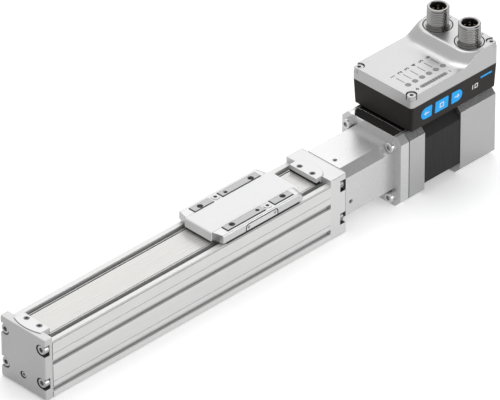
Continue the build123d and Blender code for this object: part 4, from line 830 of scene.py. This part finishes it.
def add_cover_print():
    """Plain figures with leader lines beside the dots, signs at the bar and its segment marks."""
    marks = Relief()
    top = COVER_TOP
    for index in range(DOT_COUNT):
        x = BOX_FRONT + DOT_START + index * DOT_PITCH
        place = (x, DOT_Y + DOT_FIGURE_REACH, top + FIGURE_LIFT)
        add_text(f"dot_figure_{index + 1}", str(index + 1), place, DOT_FIGURE_SIZE, 90, finishes["print"])
        marks.bar((x - LEADER_HALF_WIDTH, DOT_Y + LEADER_SPAN[0], top),
                  (x + LEADER_HALF_WIDTH, DOT_Y + LEADER_SPAN[1], top + PRINT_LIFT))
    sign = SIGN_REACH
    line = SIGN_HALF_WIDTH
    plus = BOX_FRONT + BAR_START - PLUS_BEFORE_BAR
    marks.bar((plus - sign, BAR_Y - line, top), (plus + sign, BAR_Y + line, top + PRINT_LIFT))
    marks.bar((plus - line, BAR_Y - sign, top), (plus + line, BAR_Y + sign, top + PRINT_LIFT))
    minus = BOX_FRONT + BAR_START + BAR_LENGTH + MINUS_AFTER_BAR
    short = sign * MINUS_SHARE
    marks.bar((minus - line, BAR_Y - short, top), (minus + line, BAR_Y + short, top + PRINT_LIFT))
    marks.piece("cover_print", finishes["print"], "black_oxide")

    ticks = Relief()
    bar_top = top + LENS_STAND
    reach = BAR_WIDTH / 2 - SEGMENT_INSET
    for index in range(1, SEGMENTS):
        x = BOX_FRONT + BAR_START + index * BAR_LENGTH / SEGMENTS
        ticks.bar((x - SEGMENT_HALF_WIDTH, BAR_Y - reach, bar_top),
                  (x + SEGMENT_HALF_WIDTH, BAR_Y + reach, bar_top + PRINT_LIFT))
    ticks.piece("bar_segment_marks", finishes["print"], "black_oxide")

    for index, y in enumerate((CONNECTOR_Y, -CONNECTOR_Y)):
        place = (CONNECTOR_X + CONNECTOR_FIGURE_REACH, y, PLATEAU_TOP + FIGURE_LIFT)
        add_text(f"connector_figure_{index + 1}", str(index + 1), place, CONNECTOR_FIGURE_SIZE, 90,
                 finishes["print"])


def wall_point(x, up, out):
    """Point on the box's drafted button wall, by travel place, height along the wall and stand-off."""
    draft = math.radians(BOX_DRAFT)
    foot = -(BOX_HALF - (RIM_UNDER - BUTTON_Z) * math.tan(draft))
    return (x, foot - up * math.sin(draft) - out * math.cos(draft), BUTTON_Z + up * math.cos(draft) -
            out * math.sin(draft))


def wall_shape(relief, outline, x, up, out, thickness=0.02):
    """Flat shape of local points on the button wall."""
    base = [wall_point(x + a, up + b, out) for a, b in outline]
    ahead = Vector(wall_point(x, up, out + thickness)) - Vector(wall_point(x, up, out))
    relief.prism(base, tuple(ahead))


def add_button_symbols():
    """White arrows on the outer buttons, a square ring on the middle one, a blue dash and a white figure."""
    out = BUTTON_PROUD
    for name, turn in (("left", -1), ("right", 1)):
        arrow = Relief()
        middle, tip, head, line = BUTTON_CENTRES[name], ARROW_REACH, ARROW_HEAD, ARROW_HALF_LINE
        front = tip - ARROW_OVERLAP
        shaft = [(-tip, -line), (front, -line), (front, line), (-tip, line)]
        wall_shape(arrow, [(turn * a, b) for a, b in shaft], middle, 0, out)
        for lean in (-1, 1):
            barb = [(tip, 0), (tip - head, lean * head),
                    (tip - head - BARB_WIDTH, lean * (head - BARB_WIDTH)), (tip - 2 * BARB_WIDTH, 0)]
            wall_shape(arrow, [(turn * a, b) for a, b in barb], middle, 0, out + BARB_LIFT)
        arrow.piece(f"{name}_button_arrow", finishes["white_print"], "blue_button", f"button_{name}")
    ring = Relief()
    reach, line = RING_REACH, RING_LINE
    for a in range(4):
        cosine, sine = round(math.cos(a * math.pi / 2)), round(math.sin(a * math.pi / 2))
        side = [(-reach, reach - line), (reach - line, reach - line), (reach - line, reach), (-reach, reach)]
        wall_shape(ring, [(cosine * u - sine * v, sine * u + cosine * v) for u, v in side],
                   BUTTON_CENTRES["centre"], 0, out)
    ring.piece("centre_button_ring", finishes["white_print"], "blue_button", "button_centre")
    dash = Relief()
    length, width = DASH_HALF_LENGTH, DASH_HALF_WIDTH
    outline = [(-length, -width), (length, -width), (length, width), (-length, width)]
    wall_shape(dash, outline, DASH_X, DASH_UP, 0.0)
    dash.piece("side_dash", finishes["blue_button"], "blue_button")
    figure = Relief()
    for low, high in SIDE_FIGURE_STROKES:
        outline = [low, (high[0], low[1]), high, (low[0], high[1])]
        wall_shape(figure, outline, SIDE_FIGURE_X, SIDE_FIGURE_UP, 0.0)
    figure.piece("side_figure", finishes["white_print"], "slide_polymer")


def add_floor():
    """Plain pale floor under the part."""
    low = cad_box[0][2]
    mesh = bpy.data.meshes.new("floor")
    half = FLOOR_SIZE / 2
    mesh.from_pydata([(-half, -half, low), (half, -half, low), (half, half, low), (-half, half, low)],
                     [], [(0, 1, 2, 3)])
    floor = bpy.data.objects.new("floor", mesh)
    bpy.context.scene.collection.objects.link(floor)
    material = bpy.data.materials.new("pale_floor")
    material.use_nodes = True
    tree = material.node_tree
    tree.nodes.clear()
    dull = tree.nodes.new("ShaderNodeBsdfDiffuse")
    dull.inputs["Color"].default_value = (*grey(FLOOR_BOUNCED), 1)
    pale = tree.nodes.new("ShaderNodeBsdfDiffuse")
    pale.inputs["Color"].default_value = (*grey(FLOOR_SHOWN), 1)
    glow = tree.nodes.new("ShaderNodeEmission")
    glow.inputs["Strength"].default_value = FLOOR_GLOW
    lit = tree.nodes.new("ShaderNodeAddShader")
    tree.links.new(pale.outputs[0], lit.inputs[0])
    tree.links.new(glow.outputs[0], lit.inputs[1])
    mix = tree.nodes.new("ShaderNodeMixShader")
    out = tree.nodes.new("ShaderNodeOutputMaterial")
    tree.links.new(add_shown_factor(tree), mix.inputs[0])
    tree.links.new(dull.outputs[0], mix.inputs[1])
    tree.links.new(lit.outputs[0], mix.inputs[2])
    tree.links.new(mix.outputs[0], out.inputs["Surface"])
    floor.data.materials.append(material)


add_camera()
add_light()
add_floor()
add_edge_card()
dress_nodes()
add_seams()
add_slide_seams()
add_cover_print()
add_button_symbols()
bpy.context.scene.view_settings.view_transform = "Standard"
